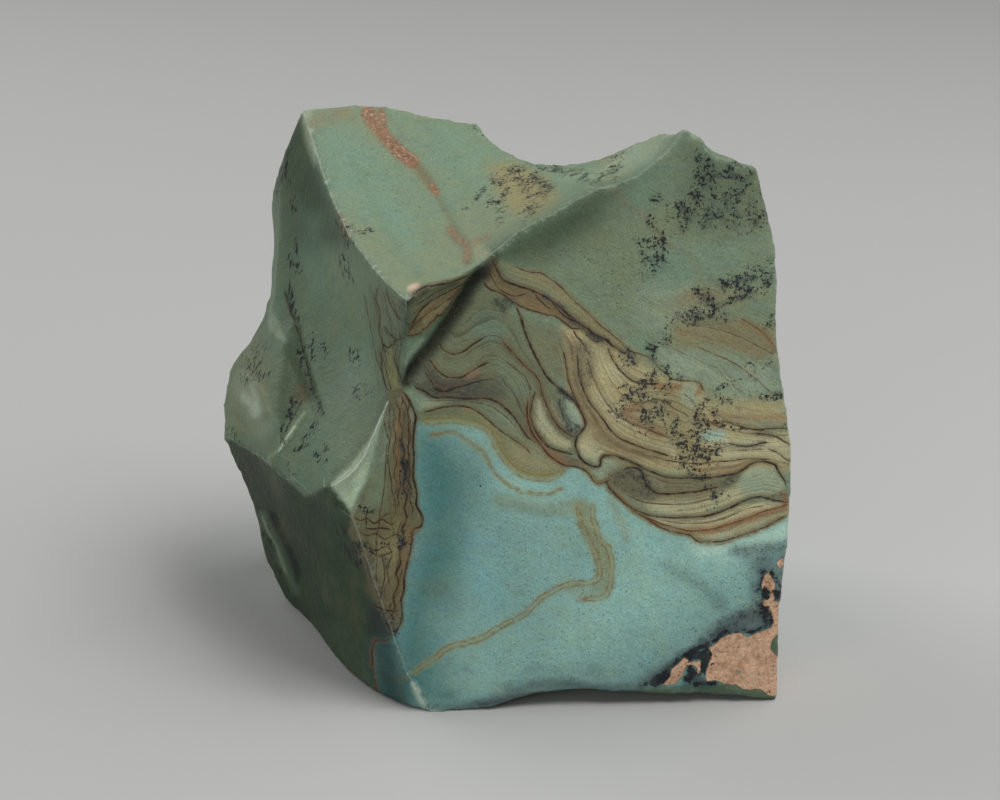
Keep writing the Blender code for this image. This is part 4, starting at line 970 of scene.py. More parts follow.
# Banding, region by region: outline of the region, its strength and warmth, and guides with their place in the banding.
BANDINGS = [
    ([(425, 330), (466, 300), (500, 304), (520, 325), (545, 375), (565, 395), (582, 425), (575, 446), (535, 446),
      (500, 418), (440, 410), (410, 385)], 1.0, 0.1,
     [(0, FOLD_TOP + [(492, 337)] + FOLD_RUN),
      (20, FOLD_MIDDLE + [(498, 361), (506, 366), (514, 373), (521, 382), (525, 394), (527, 406)]),
      (32, FOLD_LOWER[:-1] + [(492, 382), (500, 387), (508, 394), (515, 404), (521, 416)]),
      (42, FOLD_FOOT), (54, LOBE_TOP), (-24, LONG_LINE_HIGH[:-2]), (-22, [(456, 318), (475, 302), (492, 300)])]),
    ([(560, 330), (600, 342), (640, 366), (700, 388), (792, 415), (794, 470), (700, 480), (640, 468), (600, 458),
      (582, 430), (568, 398), (556, 360)], 1.0, 0.3,
     [(0, SWIRL_COLUMN + LONG_LINE_LOW[1:-6]), (15, SWIRL_INNER + BAND_RUN[2:-1]),
      (33, SWIRL_MIDDLE + [(700, 446), (740, 448), (792, 450)]), (60, SWIRL_OUTER + [(700, 398), (740, 412), (790, 418)]),
      (74, [(612, 346), (640, 362), (668, 378), (700, 388)])]),
    ([(604, 460), (640, 470), (700, 481), (735, 477), (755, 466), (790, 475), (792, 514), (740, 534), (700, 540),
      (650, 520), (608, 488)], 0.9, 0.3,
     [(0, LONG_LINE_LOW[9:24]), (18, [(648, 487), (656, 493), (668, 494), (682, 493), (695, 492), (708, 489), (730, 484)]),
      (45, LOW_BAND_LINE), (64, LOWER_CONTACT[6:])]),
    ([(640, 300), (700, 290), (782, 320), (784, 400), (740, 400), (700, 380), (650, 358)], 0.5, 0.8,
     [(0, OUTER_LINE[8:]), (-24, [(684, 324), (720, 330), (760, 347), (776, 356)]),
      (-12, [(660, 330), (696, 346), (732, 362), (776, 398)]), (-40, [(680, 300), (740, 312), (782, 335)])]),
    ([(390, 392), (402, 386), (418, 418), (416, 480), (424, 522), (408, 565), (404, 612), (392, 640), (378, 610),
      (384, 560), (388, 500), (392, 440)], 0.45, 0.25,
     [(0, LEFT_CONTACT), (16, [(390, 400), (398, 430), (397, 470), (398, 510), (394, 550), (388, 590), (379, 630)])]),
    ([(366, 285), (384, 280), (404, 305), (404, 380), (390, 400), (376, 392), (366, 340)], 0.9, 0.15,
     [(0, [(364, 290), (368, 320), (374, 350), (380, 388)]), (9, [(374, 290), (376, 310), (380, 330), (383, 355), (388, 393)]),
      (18, [(382, 284), (386, 300), (391, 313), (397, 322), (403, 328)]), (25, [(392, 290), (397, 300), (403, 310)])]),
    ([(407, 300), (424, 286), (450, 280), (472, 274), (476, 280), (458, 297), (438, 317), (424, 332), (409, 334)], 1.0, 0.2,
     [(0, [(408, 303), (422, 289), (450, 282), (472, 274)]), (24, [(410, 333), (424, 331), (438, 316), (455, 298),
                                                                  (472, 283)])]),
    ([(492, 262), (510, 266), (548, 278), (590, 316), (632, 350), (660, 370), (640, 366), (600, 342), (566, 320),
      (530, 308), (500, 292), (486, 282)], 0.7, 0.3,
     [(0, OUTER_LINE[:18]), (14, LENS_TOP), (28, LENS_FOOT)]),
    ([(500, 250), (560, 262), (620, 310), (660, 350), (640, 352), (600, 325), (556, 283), (510, 264)], 0.35, 0.3,
     [(0, OUTER_LINE[:18]), (-20, [(530, 256), (560, 270), (590, 296), (620, 322), (650, 344)])]),
    (HIDDEN_STRIP, 0.8, 0.3,
     [(0, HIDDEN_CONTACT), (80, [(792, 429), (835, 412), (880, 408), (930, 420), (980, 424), (1040, 400), (1120, 384),
                                      (1210, 410), (1320, 450), (1420, 474),
                                      (1500, 498), (1570, 540)])]),
]

# The rough orange-pink crust at the lower right, round the corner too.
CRUST = [
    [(663, 685), (667, 680), (671, 676), (671, 670), (676, 666), (682, 661), (684, 657), (687, 656), (689, 661), (696, 661),
     (703, 661), (701, 667), (700, 673), (697, 674), (697, 668), (692, 664), (687, 666), (684, 671), (681, 678), (678, 684),
     (670, 686)],
    [(702, 650), (710, 648), (716, 643), (721, 638), (727, 635), (735, 633), (741, 633), (745, 636), (748, 638), (752, 635),
     (760, 632), (768, 629), (773, 627), (772, 620), (770, 613), (765, 608), (762, 604), (763, 600), (769, 599), (776, 602),
     (780, 602), (783, 590), (788, 576), (797, 580), (801, 592), (811, 587), (817, 598), (810, 610), (820, 621), (834, 618),
     (841, 630), (832, 641), (819, 643), (824, 656), (838, 663), (832, 676), (816, 671), (806, 686), (790, 698), (776, 697), (768, 695), (762, 690), (757, 689), (750, 690), (743, 689), (736, 685), (724, 684), (717, 680), (711, 681),
     (706, 682), (706, 671), (709, 666), (708, 660), (711, 656), (712, 651)],
    [(767, 570), (764, 578), (762, 584), (761, 589), (769, 590), (777, 589), (775, 583), (772, 577)],
    [(776, 560), (783, 558), (784, 566), (779, 569)],
    [(769, 590), (776, 590), (775, 600), (770, 600)],
    [(850, 646), (858, 641), (864, 650), (860, 660), (852, 657)],
    [(846, 604), (853, 602), (856, 610), (849, 613)],
]
# What breaks the crust: dark-green windows.
CRUST_WINDOWS = [
    [(772, 640), (778, 635), (787, 637), (791, 646), (786, 655), (776, 656), (770, 649)],
    [(778, 663), (785, 661), (788, 667), (781, 671)],
    [(736, 671), (740, 670), (741, 674), (737, 675)],
]

# Black seams and blotches round the crust: strength, half width in pixels, path.
BLACK_RIMS = [
    (0.9, 1.7, [(642, 686), (655, 679), (668, 669), (676, 662), (684, 655), (694, 650), (702, 647)]),
    (1.0, 3.2, [(654, 685), (662, 680), (667, 676)]),
    (1.0, 5.0, [(690, 657), (698, 655), (706, 656)]),
    (1.0, 3.0, [(706, 651), (709, 656), (704, 664), (704, 672)]),
    (0.9, 2.5, [(700, 647), (712, 643), (720, 636), (727, 632)]),
    (0.7, 2.0, [(727, 632), (742, 630), (752, 632), (766, 626)]),
    (1.0, 3.5, [(690, 668), (693, 674), (688, 679)]),
    (0.8, 2.5, [(686, 681), (695, 684), (706, 684), (714, 683)]),
    (0.9, 4.5, [(764, 591), (766, 596)]),
    (0.9, 2.5, [(773, 592), (780, 592), (777, 598)]),
    (0.9, 3.0, [(762, 606), (767, 610), (770, 618), (772, 624)]),
    (0.8, 3.0, [(761, 612), (766, 620)]),
    (0.8, 2.5, [(771, 572), (776, 580), (782, 586)]),
    (0.7, 2.0, [(764, 570), (761, 580), (759, 590)]),
    (0.6, 2.0, [(712, 664), (717, 666)]),
    (0.8, 2.5, [(786, 574), (794, 577), (803, 590)]),
    (0.9, 3.5, [(812, 584), (820, 598), (813, 611)]),
    (0.7, 2.5, [(826, 616), (840, 622), (845, 633), (835, 644)]),
    (0.9, 3.0, [(821, 646), (826, 656)]),
    (0.8, 2.5, [(842, 662), (836, 679), (822, 676)]),
    (0.8, 3.0, [(812, 680), (802, 690)]),
]

# Bruised ridges, some with a painted highlight: strength, half width in pixels, path along the ridge.
BRUISES_AND_HIGHLIGHTS = [
    (0.7, 9, [(303, 108), (316, 163), (340, 214), (362, 252), (405, 300)]),
    (1.0, 9, [(310, 135), (318, 166), (324, 180)]),
    (0.8, 8, [(366, 262), (380, 273)]),
    (0.9, 8, [(390, 398), (370, 440), (350, 468), (330, 484)]),
    (0.4, 9, [(350, 508), (360, 545), (392, 638), (408, 676)]),
    (1.0, 9, [(408, 676), (418, 695), (428, 710)]),
    (0.5, 8, [(220, 434), (250, 450), (275, 468), (305, 497)]),
    (0.5, 8, [(300, 418), (283, 445), (265, 460)]),
    (0.6, 8, [(303, 108), (400, 105), (487, 128)]),
    (0.3, 8, [(600, 165), (640, 132), (683, 126), (700, 135), (760, 165)]),
    # Painted highlight along the brow.
    (0.4, 7, [(484, 262), (510, 240), (560, 207), (605, 185), (640, 172), (660, 155), (683, 126)]),
    (0.3, 8, [(775, 200), (778, 350), (790, 500), (782, 690)]),
    # Painted highlight along the far-left ridge of the low-left face.
    (0.5, 4, [(262, 514), (276, 540), (288, 570), (300, 592)]),
]

# Fine dark dust: density, softness in pixels, outline.
DUST = [
    (0.5, 25, [(470, 510), (600, 500), (700, 560), (780, 550), (780, 640), (640, 690), (480, 690)]),
    (0.8, 14, [(700, 560), (790, 545), (770, 620), (700, 650), (560, 690), (470, 705), (600, 665), (720, 610)]),
    (0.8, 20, [(560, 240), (640, 250), (660, 300), (620, 320), (570, 280)]),
    (0.6, 20, [(380, 180), (420, 170), (430, 220), (390, 220)]),
    (0.5, 30, [(315, 118), (480, 128), (560, 190), (480, 240), (410, 285), (345, 210)]),
    (0.9, 25, [(790, 560), (900, 560), (1000, 650), (1200, 640), (1500, 660), (1600, 760), (790, 760)]),
]

# Small steps and grooves of the surface: height in millimetres, half width in pixels, path.
RELIEFS = [
    (-1.0, 12, CREASE),
    (0.45, 15, [(246, 386), (256, 400), (262, 420)]),
    (-0.5, 9, [(292, 322), (302, 360), (312, 392), (320, 414)]),
    (0.3, 3, [(305, 413), (298, 423), (289, 436), (279, 450), (269, 459)]),
    (0.3, 8, [(268, 300), (278, 330)]),
    (0.35, 5, [(388, 418), (372, 452), (350, 490)]),
    (-0.35, 4, [(394, 424), (380, 456), (362, 486)]),
    (0.2, 4, [(388, 440), (374, 470), (360, 496)]),
    (-0.12, 9, [(392, 140), (424, 176), (446, 206), (470, 252)]),
    (-0.10, 9, [(352, 160), (372, 200), (398, 250), (420, 278)]),
    (-0.15, 5, [(370, 118), (384, 136), (402, 154)]),
    (0.3, 4, [(262, 512), (270, 530), (279, 548), (286, 568), (300, 592)]),
    (-0.25, 2.5, [(262, 532), (271, 541), (276, 552)]),
    (-0.2, 2.5, [(276, 566), (286, 578), (290, 592)]),
    (-0.5, 5, [(272, 512), (288, 545), (302, 580)]),
    (-0.6, 6, [(284, 336), (292, 352), (303, 378), (312, 404)]),
    (-0.4, 4, [(296, 326), (300, 350), (307, 372), (313, 392)]),
    (0.35, 5, [(236, 372), (250, 380), (264, 394), (270, 420)]),
    (-0.3, 5, [(228, 412), (244, 424), (262, 428)]),
    (0.15, 7, [(500, 500), (580, 520), (610, 560), (580, 600)]),
    (0.25, 4, [(410, 300), (430, 286), (456, 280)]),
    (-0.2, 3, [(408, 332), (426, 318), (446, 300), (464, 286)]),
]
# Which part of the picture plane a hidden point takes its markings from.
RIGHT_EDGE_HEIGHTS = (0.0, 21.0, 31.9, 42.1, 57.1, 67.8, 81.5)
RIGHT_EDGE_DEPTHS = (-33.5, -30.0, -27.5, -23.5, -19.0, -15.0, -10.5)
WRAP_START = math.radians(60.0)
WRAP_RADIUS = 46.0
WRAP_COLUMN = 788.0


def place_on_plane(points, normals):
    """Each point's place on the picture plane, and how squarely it faces the camera."""
    seen = thrown_on_picture(points)
    to_eye = np.array(EYE) - points
    to_eye /= np.linalg.norm(to_eye, axis=1)[:, None]
    facing = (to_eye * normals).sum(axis=1)
    turn = np.arctan2(points[:, 0], -points[:, 1]) % math.tau
    column = WRAP_COLUMN + (turn - WRAP_START) * WRAP_RADIUS * PIXELS_PER_MM
    depth = np.interp(points[:, 2] / MM, RIGHT_EDGE_HEIGHTS, RIGHT_EDGE_DEPTHS) * MM
    row = thrown_on_picture(np.c_[np.full(len(points), 0.044), depth, points[:, 2]])[:, 1]
    hidden = facing < 0.0
    place = np.where(hidden[:, None], np.c_[column, row], seen)
    return place, facing


def paint_ground(at, down):
    colour = np.tile(np.array(SAGE), (len(at), 1))
    for tone, strength, feather, outline in GROUNDS:
        weight = (inside(outline, at, feather) * strength)[:, None]
        colour = colour * (1 - weight) + np.array(tone) * weight
    for tone, strength, half, path in STROKES:
        close, gap, _ = near_path(smooth_path(path), at, half * 1.6)
        weight = (smoothstep(half * 1.6, half * 0.3, np.abs(gap)) * strength)[:, None]
        colour[close] = colour[close] * (1 - weight) + np.array(tone) * weight
    under = (smoothstep(0.6, 0.95, down))[:, None]
    return colour * (1 - under) + np.array(SAGE_DEEP) * under


# How far from a line, in pixels, its distance is known, its ink starts to fade and ends, and its shading does.
LINE_REACH = 12.0
INK_FADE = (3.2, 6.0)
SHADE_FADE = (5.0, 9.0)
LINE_GAP = 15.0
FAR_AWAY = 2.0
EDGE_REACH = 6.0


def sort_lines(lines):
    """Puts the lines in as few groups as keep any two lines of a group apart."""
    groups = []
    for line in lines:
        path = smooth_path(line[-1], 4.0)
        for group in groups:
            if all(np.linalg.norm(path[:, None] - other[None], axis=2).min() > LINE_GAP for _, other in group):
                group.append((line, path))
                break
        else:
            groups.append([(line, path)])
    return groups


def lay_lines(group, at):
    """Signed distance in millimetres, half width, warmth and shading of the group's nearest line, at every point."""
    layer = np.zeros((len(at), 4))
    layer[:, 0] = FAR_AWAY
    nearest = np.full(len(at), 1e9)
    for line, path in group:
        half, warmth, shading = line[0], *(line[1:3] if len(line) == 4 else (0.0, 0.0))
        close, gap, along = near_path(path, at, LINE_REACH)
        here = np.abs(gap) < nearest[close]
        close, gap, along = close[here], gap[here], along[here]
        nearest[close] = np.abs(gap)
        ends = smoothstep(0.0, 0.05, along) * smoothstep(1.0, 0.95, along)
        layer[close, 0] = gap / PIXELS_PER_MM
        layer[close, 1] = half * ends * smoothstep(INK_FADE[1], INK_FADE[0], np.abs(gap))
        layer[close, 2] = warmth
        layer[close, 3] = shading * ends * smoothstep(SHADE_FADE[1], SHADE_FADE[0], np.abs(gap))
    return layer


def lay_bands(at, edges):
    """Place in the banding in millimetres, strength and warmth, at every point."""
    layer = np.zeros((len(at), 3))
    region = np.full(len(at), -1)
    for number, (outline, strength, warmth, guides) in enumerate(BANDINGS):
        weight = inside(outline, at, 7.0) * strength
        better = np.flatnonzero(weight > layer[:, 1])
        layer[better, 0] = spread_values(guides, at[better]) / PIXELS_PER_MM + 40.0 * number
        layer[better, 1] = weight[better]
        layer[better, 2] = warmth
        region[better] = number
    # Where two regions meet, the banding stops, and starts afresh a little further on.
    seam = np.zeros(len(at), bool)
    seam[edges[region[edges[:, 0]] != region[edges[:, 1]]].ravel()] = True
    layer[seam, 1] = 0.0
    near = np.zeros(len(at), bool)
    near[edges[seam[edges].any(axis=1)].ravel()] = True
    layer[near, 1] *= 0.6
    return layer


def lay_density(strokes, at):
    layer = np.zeros(len(at))
    for density, half, path in strokes:
        close, gap, _ = near_path(smooth_path(path), at, half * 1.7)
        layer[close] = np.maximum(layer[close], smoothstep(half * 1.7, half * 0.25, np.abs(gap)) * density)
    return layer


def lay_crust(at):
    """Distance in millimetres to the edge of the crust, negative outside it."""
    distance = np.full(len(at), -EDGE_REACH)
    for outline in CRUST:
        close, here = edge_distance(outline, at, EDGE_REACH)
        distance[close] = np.maximum(distance[close], np.clip(here, -EDGE_REACH, EDGE_REACH))
    for outline in CRUST_WINDOWS:
        close, here = edge_distance(outline, at, EDGE_REACH)
        distance[close] = np.minimum(distance[close], np.clip(-here, -EDGE_REACH, EDGE_REACH))
    return distance / PIXELS_PER_MM


def lay_rims(at):
    """Distance in millimetres to the edge of the black seams, negative outside them."""
    distance = np.full(len(at), -EDGE_REACH)
    for strength, half, path in BLACK_RIMS:
        close, gap, _ = near_path(smooth_path(path), at, half + EDGE_REACH)
        distance[close] = np.maximum(distance[close], half * strength - np.abs(gap))
    return distance / PIXELS_PER_MM


def lay_dust(at):
    layer = np.full(len(at), 0.2)
    for density, feather, outline in DUST:
        layer = np.maximum(layer, inside(outline, at, feather) * density)
    return layer


def lay_reliefs(at):
    """Height in millimetres of the small steps and grooves."""
    height = np.zeros(len(at))
    for rise, half, path in RELIEFS:
        close, gap, along = near_path(smooth_path(path), at, half)
        ends = smoothstep(0.0, 0.08, along) * smoothstep(1.0, 0.92, along)
        height[close] += rise * (1 - (gap / half) ** 2) ** 2 * (0.25 + 0.75 * ends)
    return height
def waves(points, length, shift):
    offset = Vector((shift, shift * 2.3, shift * 0.7))
    return np.array([noise.noise(Vector(p) / length + offset) for p in points])


def store(mesh, name, kind, values):
    layer = mesh.attributes.new(name, kind, "POINT")
    field = {"FLOAT": "value", "FLOAT_VECTOR": "vector", "FLOAT_COLOR": "color"}[kind]
    layer.data.foreach_set(field, np.ascontiguousarray(values, np.float32).ravel())


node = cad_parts["stone"]
skin = make_skin(node)
points = read_points(skin)
edges = read_edges(skin)
ridges = find_ridges(node.data, math.radians(19.0), 0.4 * MM)
ridge_gap = ridge_distance(points, ridges)[0] / MM
points = relax(points, edges, np.ones(len(points)), 2)
ease = smoothstep(0.7, 3.0, ridge_gap)
points = relax(points, edges, ease, 40)

write_points(skin, points)
normals = read_normals(skin)
at, facing = place_on_plane(points, normals)
crust = lay_crust(at)
rims = lay_rims(at)
mm = points / MM
relief = 0.06 * waves(mm, 5.0, 3.0) + 0.04 * waves(mm, 1.8, 8.0)
relief += smoothstep(0.15, -0.15, facing) * (0.26 * waves(mm, 7.5, 21.0) + 0.10 * waves(mm, 2.8, 31.0))
relief += lay_reliefs(at)
foot = smoothstep(10.0, 2.5, mm[:, 2]) * smoothstep(0.1, 0.5, facing)
relief += foot * (0.22 * waves(mm, 2.6, 17.0) - 0.45 * smoothstep(0.1, 0.5, waves(mm, 2.2, 27.0)))
relief += smoothstep(-0.2, 0.4, crust) * (0.24 * waves(mm, 1.5, 5.0) - 0.08)
worn = smoothstep(1.3, 0.2, ridge_gap) * smoothstep(0.05, 0.45, waves(mm, 1.9, 13.0))
relief -= 0.16 * worn
points = points + normals * relief[:, None] * MM
points = np.clip(points, np.array(cad_low), np.array(cad_high))
write_points(skin, points)

turn = smoothstep(0.11, 0.02, np.abs(facing))
ground = relax(paint_ground(at, -normals[:, 2]), edges, turn, 60)
store(skin, "ground", "FLOAT_COLOR", np.c_[ground, np.ones(len(at))])
sides = smoothstep(0.95, 0.6, -normals[:, 2])
line_groups = sort_lines(LINES)
for number, group in enumerate(line_groups):
    laid = lay_lines(group, at)
    laid[:, 1] *= sides
    store(skin, f"lines_{number}", "FLOAT_COLOR", laid)
vein_groups = sort_lines(VEINS)
for number, group in enumerate(vein_groups):
    laid = lay_lines(group, at)
    laid[:, 1] *= sides
    store(skin, f"veins_{number}", "FLOAT_COLOR", laid)
store(skin, "bands", "FLOAT_VECTOR", lay_bands(at, edges))
store(skin, "growths", "FLOAT_VECTOR", np.c_[lay_density(GROWTHS, at), lay_density(SPECKS, at), lay_dust(at)])
ridge_gap, ridge_side = ridge_distance(points, ridges)
# Pale bruises along the ridges, and painted highlights where the table puts them.
bruise_and_highlight = np.where(facing < 0, 0.14, lay_density(BRUISES_AND_HIGHLIGHTS, at)) * smoothstep(2.0, 1.2, ridge_gap / MM)
store(skin, "crust", "FLOAT_VECTOR", np.c_[crust, rims, lay_density(SMUDGES, at)])
store(skin, "ridge", "FLOAT_VECTOR", np.c_[ridge_side / MM, bruise_and_highlight, lay_density(RED_VEINS, at)])
stone = bpy.data.objects.new("stone_skin", skin)
bpy.context.scene.collection.objects.link(stone)
for face in skin.polygons:
    face.use_smooth = True
print("SKIN", len(skin.vertices), "points", len(skin.polygons), "faces", len(line_groups), "line groups")


# The stone's material.


class Value:
    """A number or colour that runs through a material. Sums and products of it become nodes."""

    def __init__(self, finish, socket):
        self.finish = finish
        self.socket = socket

    def math(self, operation, *operands):
        return self.finish.node("ShaderNodeMath", {"operation": operation}, dict(enumerate(operands)))

    def __add__(self, other):
        return self.math("ADD", self, other)

    def __sub__(self, other):
        return self.math("SUBTRACT", self, other)

    def __rsub__(self, other):
        return self.math("SUBTRACT", other, self)

    def __mul__(self, other):
        return self.math("MULTIPLY", self, other)

    def __truediv__(self, other):
        return self.math("DIVIDE", self, other)

    __radd__ = __add__
    __rmul__ = __mul__

    def __abs__(self):
        return self.math("ABSOLUTE", self)

    def most(self, other):
        return self.math("MAXIMUM", self, other)

    def step(self, low, high):
        """0 below low, 1 above high, smooth between."""
        return self.finish.node(
            "ShaderNodeMapRange", {"interpolation_type": "SMOOTHSTEP"},
            {"Value": self, "From Min": low, "From Max": high, "To Min": 0.0, "To Max": 1.0})


class Finish:
    """A material that is built up in code."""

    def __init__(self, name):
        self.material = bpy.data.materials.new(name)
        self.material.use_nodes = True
        self.tree = self.material.node_tree
        self.shader = self.tree.nodes["Principled BSDF"]

    def node(self, kind, settings, sockets, output=0):
        made = self.tree.nodes.new(kind)
        for name, value in settings.items():
            setattr(made, name, value)
        for name, value in sockets.items():
            self.join(made.inputs[name], value)
        return Value(self, made.outputs[output])

    def join(self, socket, value):
        if isinstance(value, Value):
            self.tree.links.new(value.socket, socket)
        elif socket.type == "RGBA":
            socket.default_value = (*value, 1.0)
        else:
            socket.default_value = value

    def layer(self, name, four=False):
        """The three numbers, or four, that the surface keeps under a name."""
        read = self.node("ShaderNodeAttribute", {"attribute_name": name}, {}, "Vector")
        numbers = self.parts(read)
        return [*numbers, Value(self, read.socket.node.outputs["Alpha"])] if four else numbers

    def parts(self, vector):
        split = self.node("ShaderNodeSeparateXYZ", {}, {0: vector}).socket.node
        return [Value(self, out) for out in split.outputs]

    def mix(self, amount, below, above):
        return self.node(
            "ShaderNodeMix", {"data_type": "RGBA"}, {"Factor": amount, 6: below, 7: above}, 2)

    def noise(self, where, scale, detail=2.0, rough=0.5, distortion=0.0):
        return self.node(
            "ShaderNodeTexNoise", {}, {"Vector": where, "Scale": scale, "Detail": detail, "Roughness": rough,
                                       "Distortion": distortion})


def stretched(finish, where, scale):
    return finish.node("ShaderNodeVectorMath", {"operation": "MULTIPLY"}, {0: where, 1: scale})


def draw_bands(finish, tone, place, strength, warmth, spot):
    """Uneven bands that darken towards a crisp dark edge, with finer ones between them."""
    drift = place + (finish.noise(spot, 0.35, 3.0, 0.6) - 0.5) * 0.9
    uneven = finish.node("ShaderNodeTexNoise", {"noise_dimensions": "1D"}, {"W": drift, "Scale": 0.5, "Detail": 1.0})
    patchy = finish.noise(spot, 0.20, 2.0, 0.5).step(0.30, 0.62)
    ink = finish.mix(warmth, shade(44, 38, 28), shade(112, 74, 44))
    dusk = finish.mix(warmth, shade(84, 76, 58), shade(124, 92, 60))
    for per_mm, spread, edge, edge_ink, shading in ((0.62, 2.4, 0.07, 0.80, 0.42), (1.9, 3.0, 0.14, 0.40, 0.20)):
        run = drift * per_mm + uneven * spread
        step = run.math("FRACT", run)
        lot = finish.node("ShaderNodeTexWhiteNoise", {"noise_dimensions": "1D"}, {"W": run.math("FLOOR", run)})
        weight = strength * (0.25 + lot * 0.75) * (0.35 + patchy * 0.65)
        tone = finish.mix(step * step * weight * shading, tone, dusk)
        tone = finish.mix((step - (1 - edge * 2)).step(0.0, edge) * weight * edge_ink, tone, ink)
    return tone


def make_jasper():
    finish = Finish("banded_jasper")
    spot = finish.node("ShaderNodeTexCoord", {}, {}, "Object")
    spot = stretched(finish, spot, (1000.0, 1000.0, 1000.0))
    ground = finish.node("ShaderNodeAttribute", {"attribute_name": "ground"}, {}, "Color")
    cloud = finish.noise(spot, 0.12, 4.0, 0.6)
    blotch = finish.noise(spot, 0.55, 3.0, 0.65)
    grain = finish.noise(spot, 2.2, 3.0, 0.6)
    fine = finish.noise(spot, 5.0, 2.0, 0.6)
    wobble = (finish.noise(spot, 0.9, 2.0, 0.6) - 0.5) * 0.30

    # Clouds of a warmer and a cooler tone, mottling, and a fine grain.
    tint = finish.noise(spot, 0.33, 3.0, 0.65)
    tint = finish.mix(tint.step(0.34, 0.66), (0.96, 1.0, 1.02), (1.03, 1.0, 0.93))
    ground = stretched(finish, ground, tint)
    tone = finish.mix(cloud.step(0.44, 0.70) * 0.14, ground, MOSS_TAN)
    tone = finish.mix(blotch.step(0.48, 0.75) * 0.16, tone, SLATE)
    tone = finish.mix(grain.step(0.50, 0.75) * 0.14, tone, SLATE)
    lift = 1.04 + (fine - 0.5) * 0.9 + (grain - 0.5) * 0.7
    tone = finish.node("ShaderNodeVectorMath", {"operation": "SCALE"}, {0: tone, "Scale": lift})

    place, strength, warmth = finish.layer("bands")
    tone = draw_bands(finish, tone, place, strength, warmth, spot)

    # Golden veins: a soft tan band between two broken olive-brown edges.
    patchy = finish.noise(spot, 0.8, 4.0, 0.65)
    wander = (finish.noise(spot, 0.42, 3.0, 0.65) - 0.5) * 1.3
    for number in range(len(vein_groups)):
        gap, half, _, _ = finish.layer(f"veins_{number}", True)
        off = gap + wander
        shown = half.step(0.0, 0.1)
        body = (1 - (abs(off) - half).step(-0.6, 1.3)) * shown
        edge = (1 - (abs(abs(off) - half * 0.9)).step(0.0, 0.36)) * shown
        tone = finish.mix(body * (0.2 + patchy * 0.7), tone, VEIN_TAN)
        tone = finish.mix(edge * (0.10 + patchy.step(0.34, 0.64) * 0.55), tone, VEIN_EDGE)

    # Thin drawn lines, with the stone darker on their upper side.
    ragged = 0.4 + finish.noise(spot, 0.6, 3.0, 0.65).step(0.32, 0.62) * 0.6
    for number in range(len(line_groups)):
        gap, half, warmth, shading = finish.layer(f"lines_{number}", True)
        off = gap + wobble
        reach = abs(off)
        shown = (1 - (reach - half * (0.45 + ragged * 0.6)).step(-0.09, 0.09)) * half.step(0.0, 0.06)
        above = off.step(0.1, -0.1) * (1 - (off * -1).step(0.0, 1.1)) * shading
        halo = (reach - half * 2).step(0.55, -0.05) * half.step(0.05, 0.22)
        tone = finish.mix(above * 0.75, tone, TAN_BROWN)
        tone = finish.mix(halo * (0.2 + patchy * 0.7), tone, finish.mix(warmth, TAN_BROWN, RUST))
        stroke = finish.mix(warmth, LINE_BROWN, LINE_RUST)
        stroke = finish.mix(warmth.step(-0.2, -0.8), stroke, BRUISE_AND_HIGHLIGHT)
        tone = finish.mix(shown * (0.3 + ragged * 0.7), tone, stroke)

    # Grainy smudges.
    crust, rims, smudge = finish.layer("crust")
    grit = finish.noise(spot, 3.4, 2.0, 0.6) * 0.6 + finish.noise(spot, 1.1, 2.0, 0.6) * 0.4
    tone = finish.mix(smudge * 0.55, tone, SLATE)
    tone = finish.mix((grit + smudge * 0.30).step(0.58, 0.86) * smudge.step(0.0, 0.3) * 0.8, tone, INK)

    # Pale flecks.
    flecks = finish.noise(spot, 3.1, 1.5, 0.6)
    tone = finish.mix(flecks.step(0.68, 0.75) * 0.16, tone, BRUISE_AND_HIGHLIGHT)

    # Dust, fern-like growths and upright specks.
    density, upright, dust = finish.layer("growths")
    motes = finish.noise(spot, 2.8, 1.0, 0.5) + dust * 0.07
    tone = finish.mix(motes.step(0.68, 0.76) * dust.step(0.0, 0.6) * 0.6, tone, SLATE)
    clump = finish.noise(spot, 0.55, 2.0, 0.5)
    sprays = finish.noise(spot, 2.15, 2.5, 0.64, 0.4) + (clump - 0.5) * 0.44
    blots = (sprays + density * 0.18).step(0.668, 0.74) * density.step(0.05, 0.25)
    tall = finish.noise(stretched(finish, spot, (1.0, 1.0, 0.42)), 1.5, 3.0, 0.62, 0.5)
    dashes = (tall + upright * 0.17).step(0.65, 0.70) * upright.step(0.05, 0.25)
    dark = blots.most(dashes)
    stain = density.step(0.2, 0.95) * clump.step(0.42, 0.62)
    tone = finish.mix(stain * 0.38, tone, SLATE)
    tone = finish.mix(dark * 0.92, tone, INK)

    # Rust-red veins with pale crystals.
    across, bruise_and_highlight, redness = finish.layer("ridge")
    crumb = finish.noise(spot, 1.5, 4.0, 0.7)
    tone = finish.mix((redness + (crumb - 0.5) * 2.4).step(0.35, 0.95) * redness.step(0.0, 0.3) * 0.85, tone, RED_PINK)
    tone = finish.mix(crumb.step(0.47, 0.36) * redness.step(0.15, 0.7) * 0.8, tone, shade(112, 58, 40))
    tone = finish.mix(crumb.step(0.54, 0.64) * redness.step(0.4, 0.9) * 0.75, tone, shade(204, 170, 138))

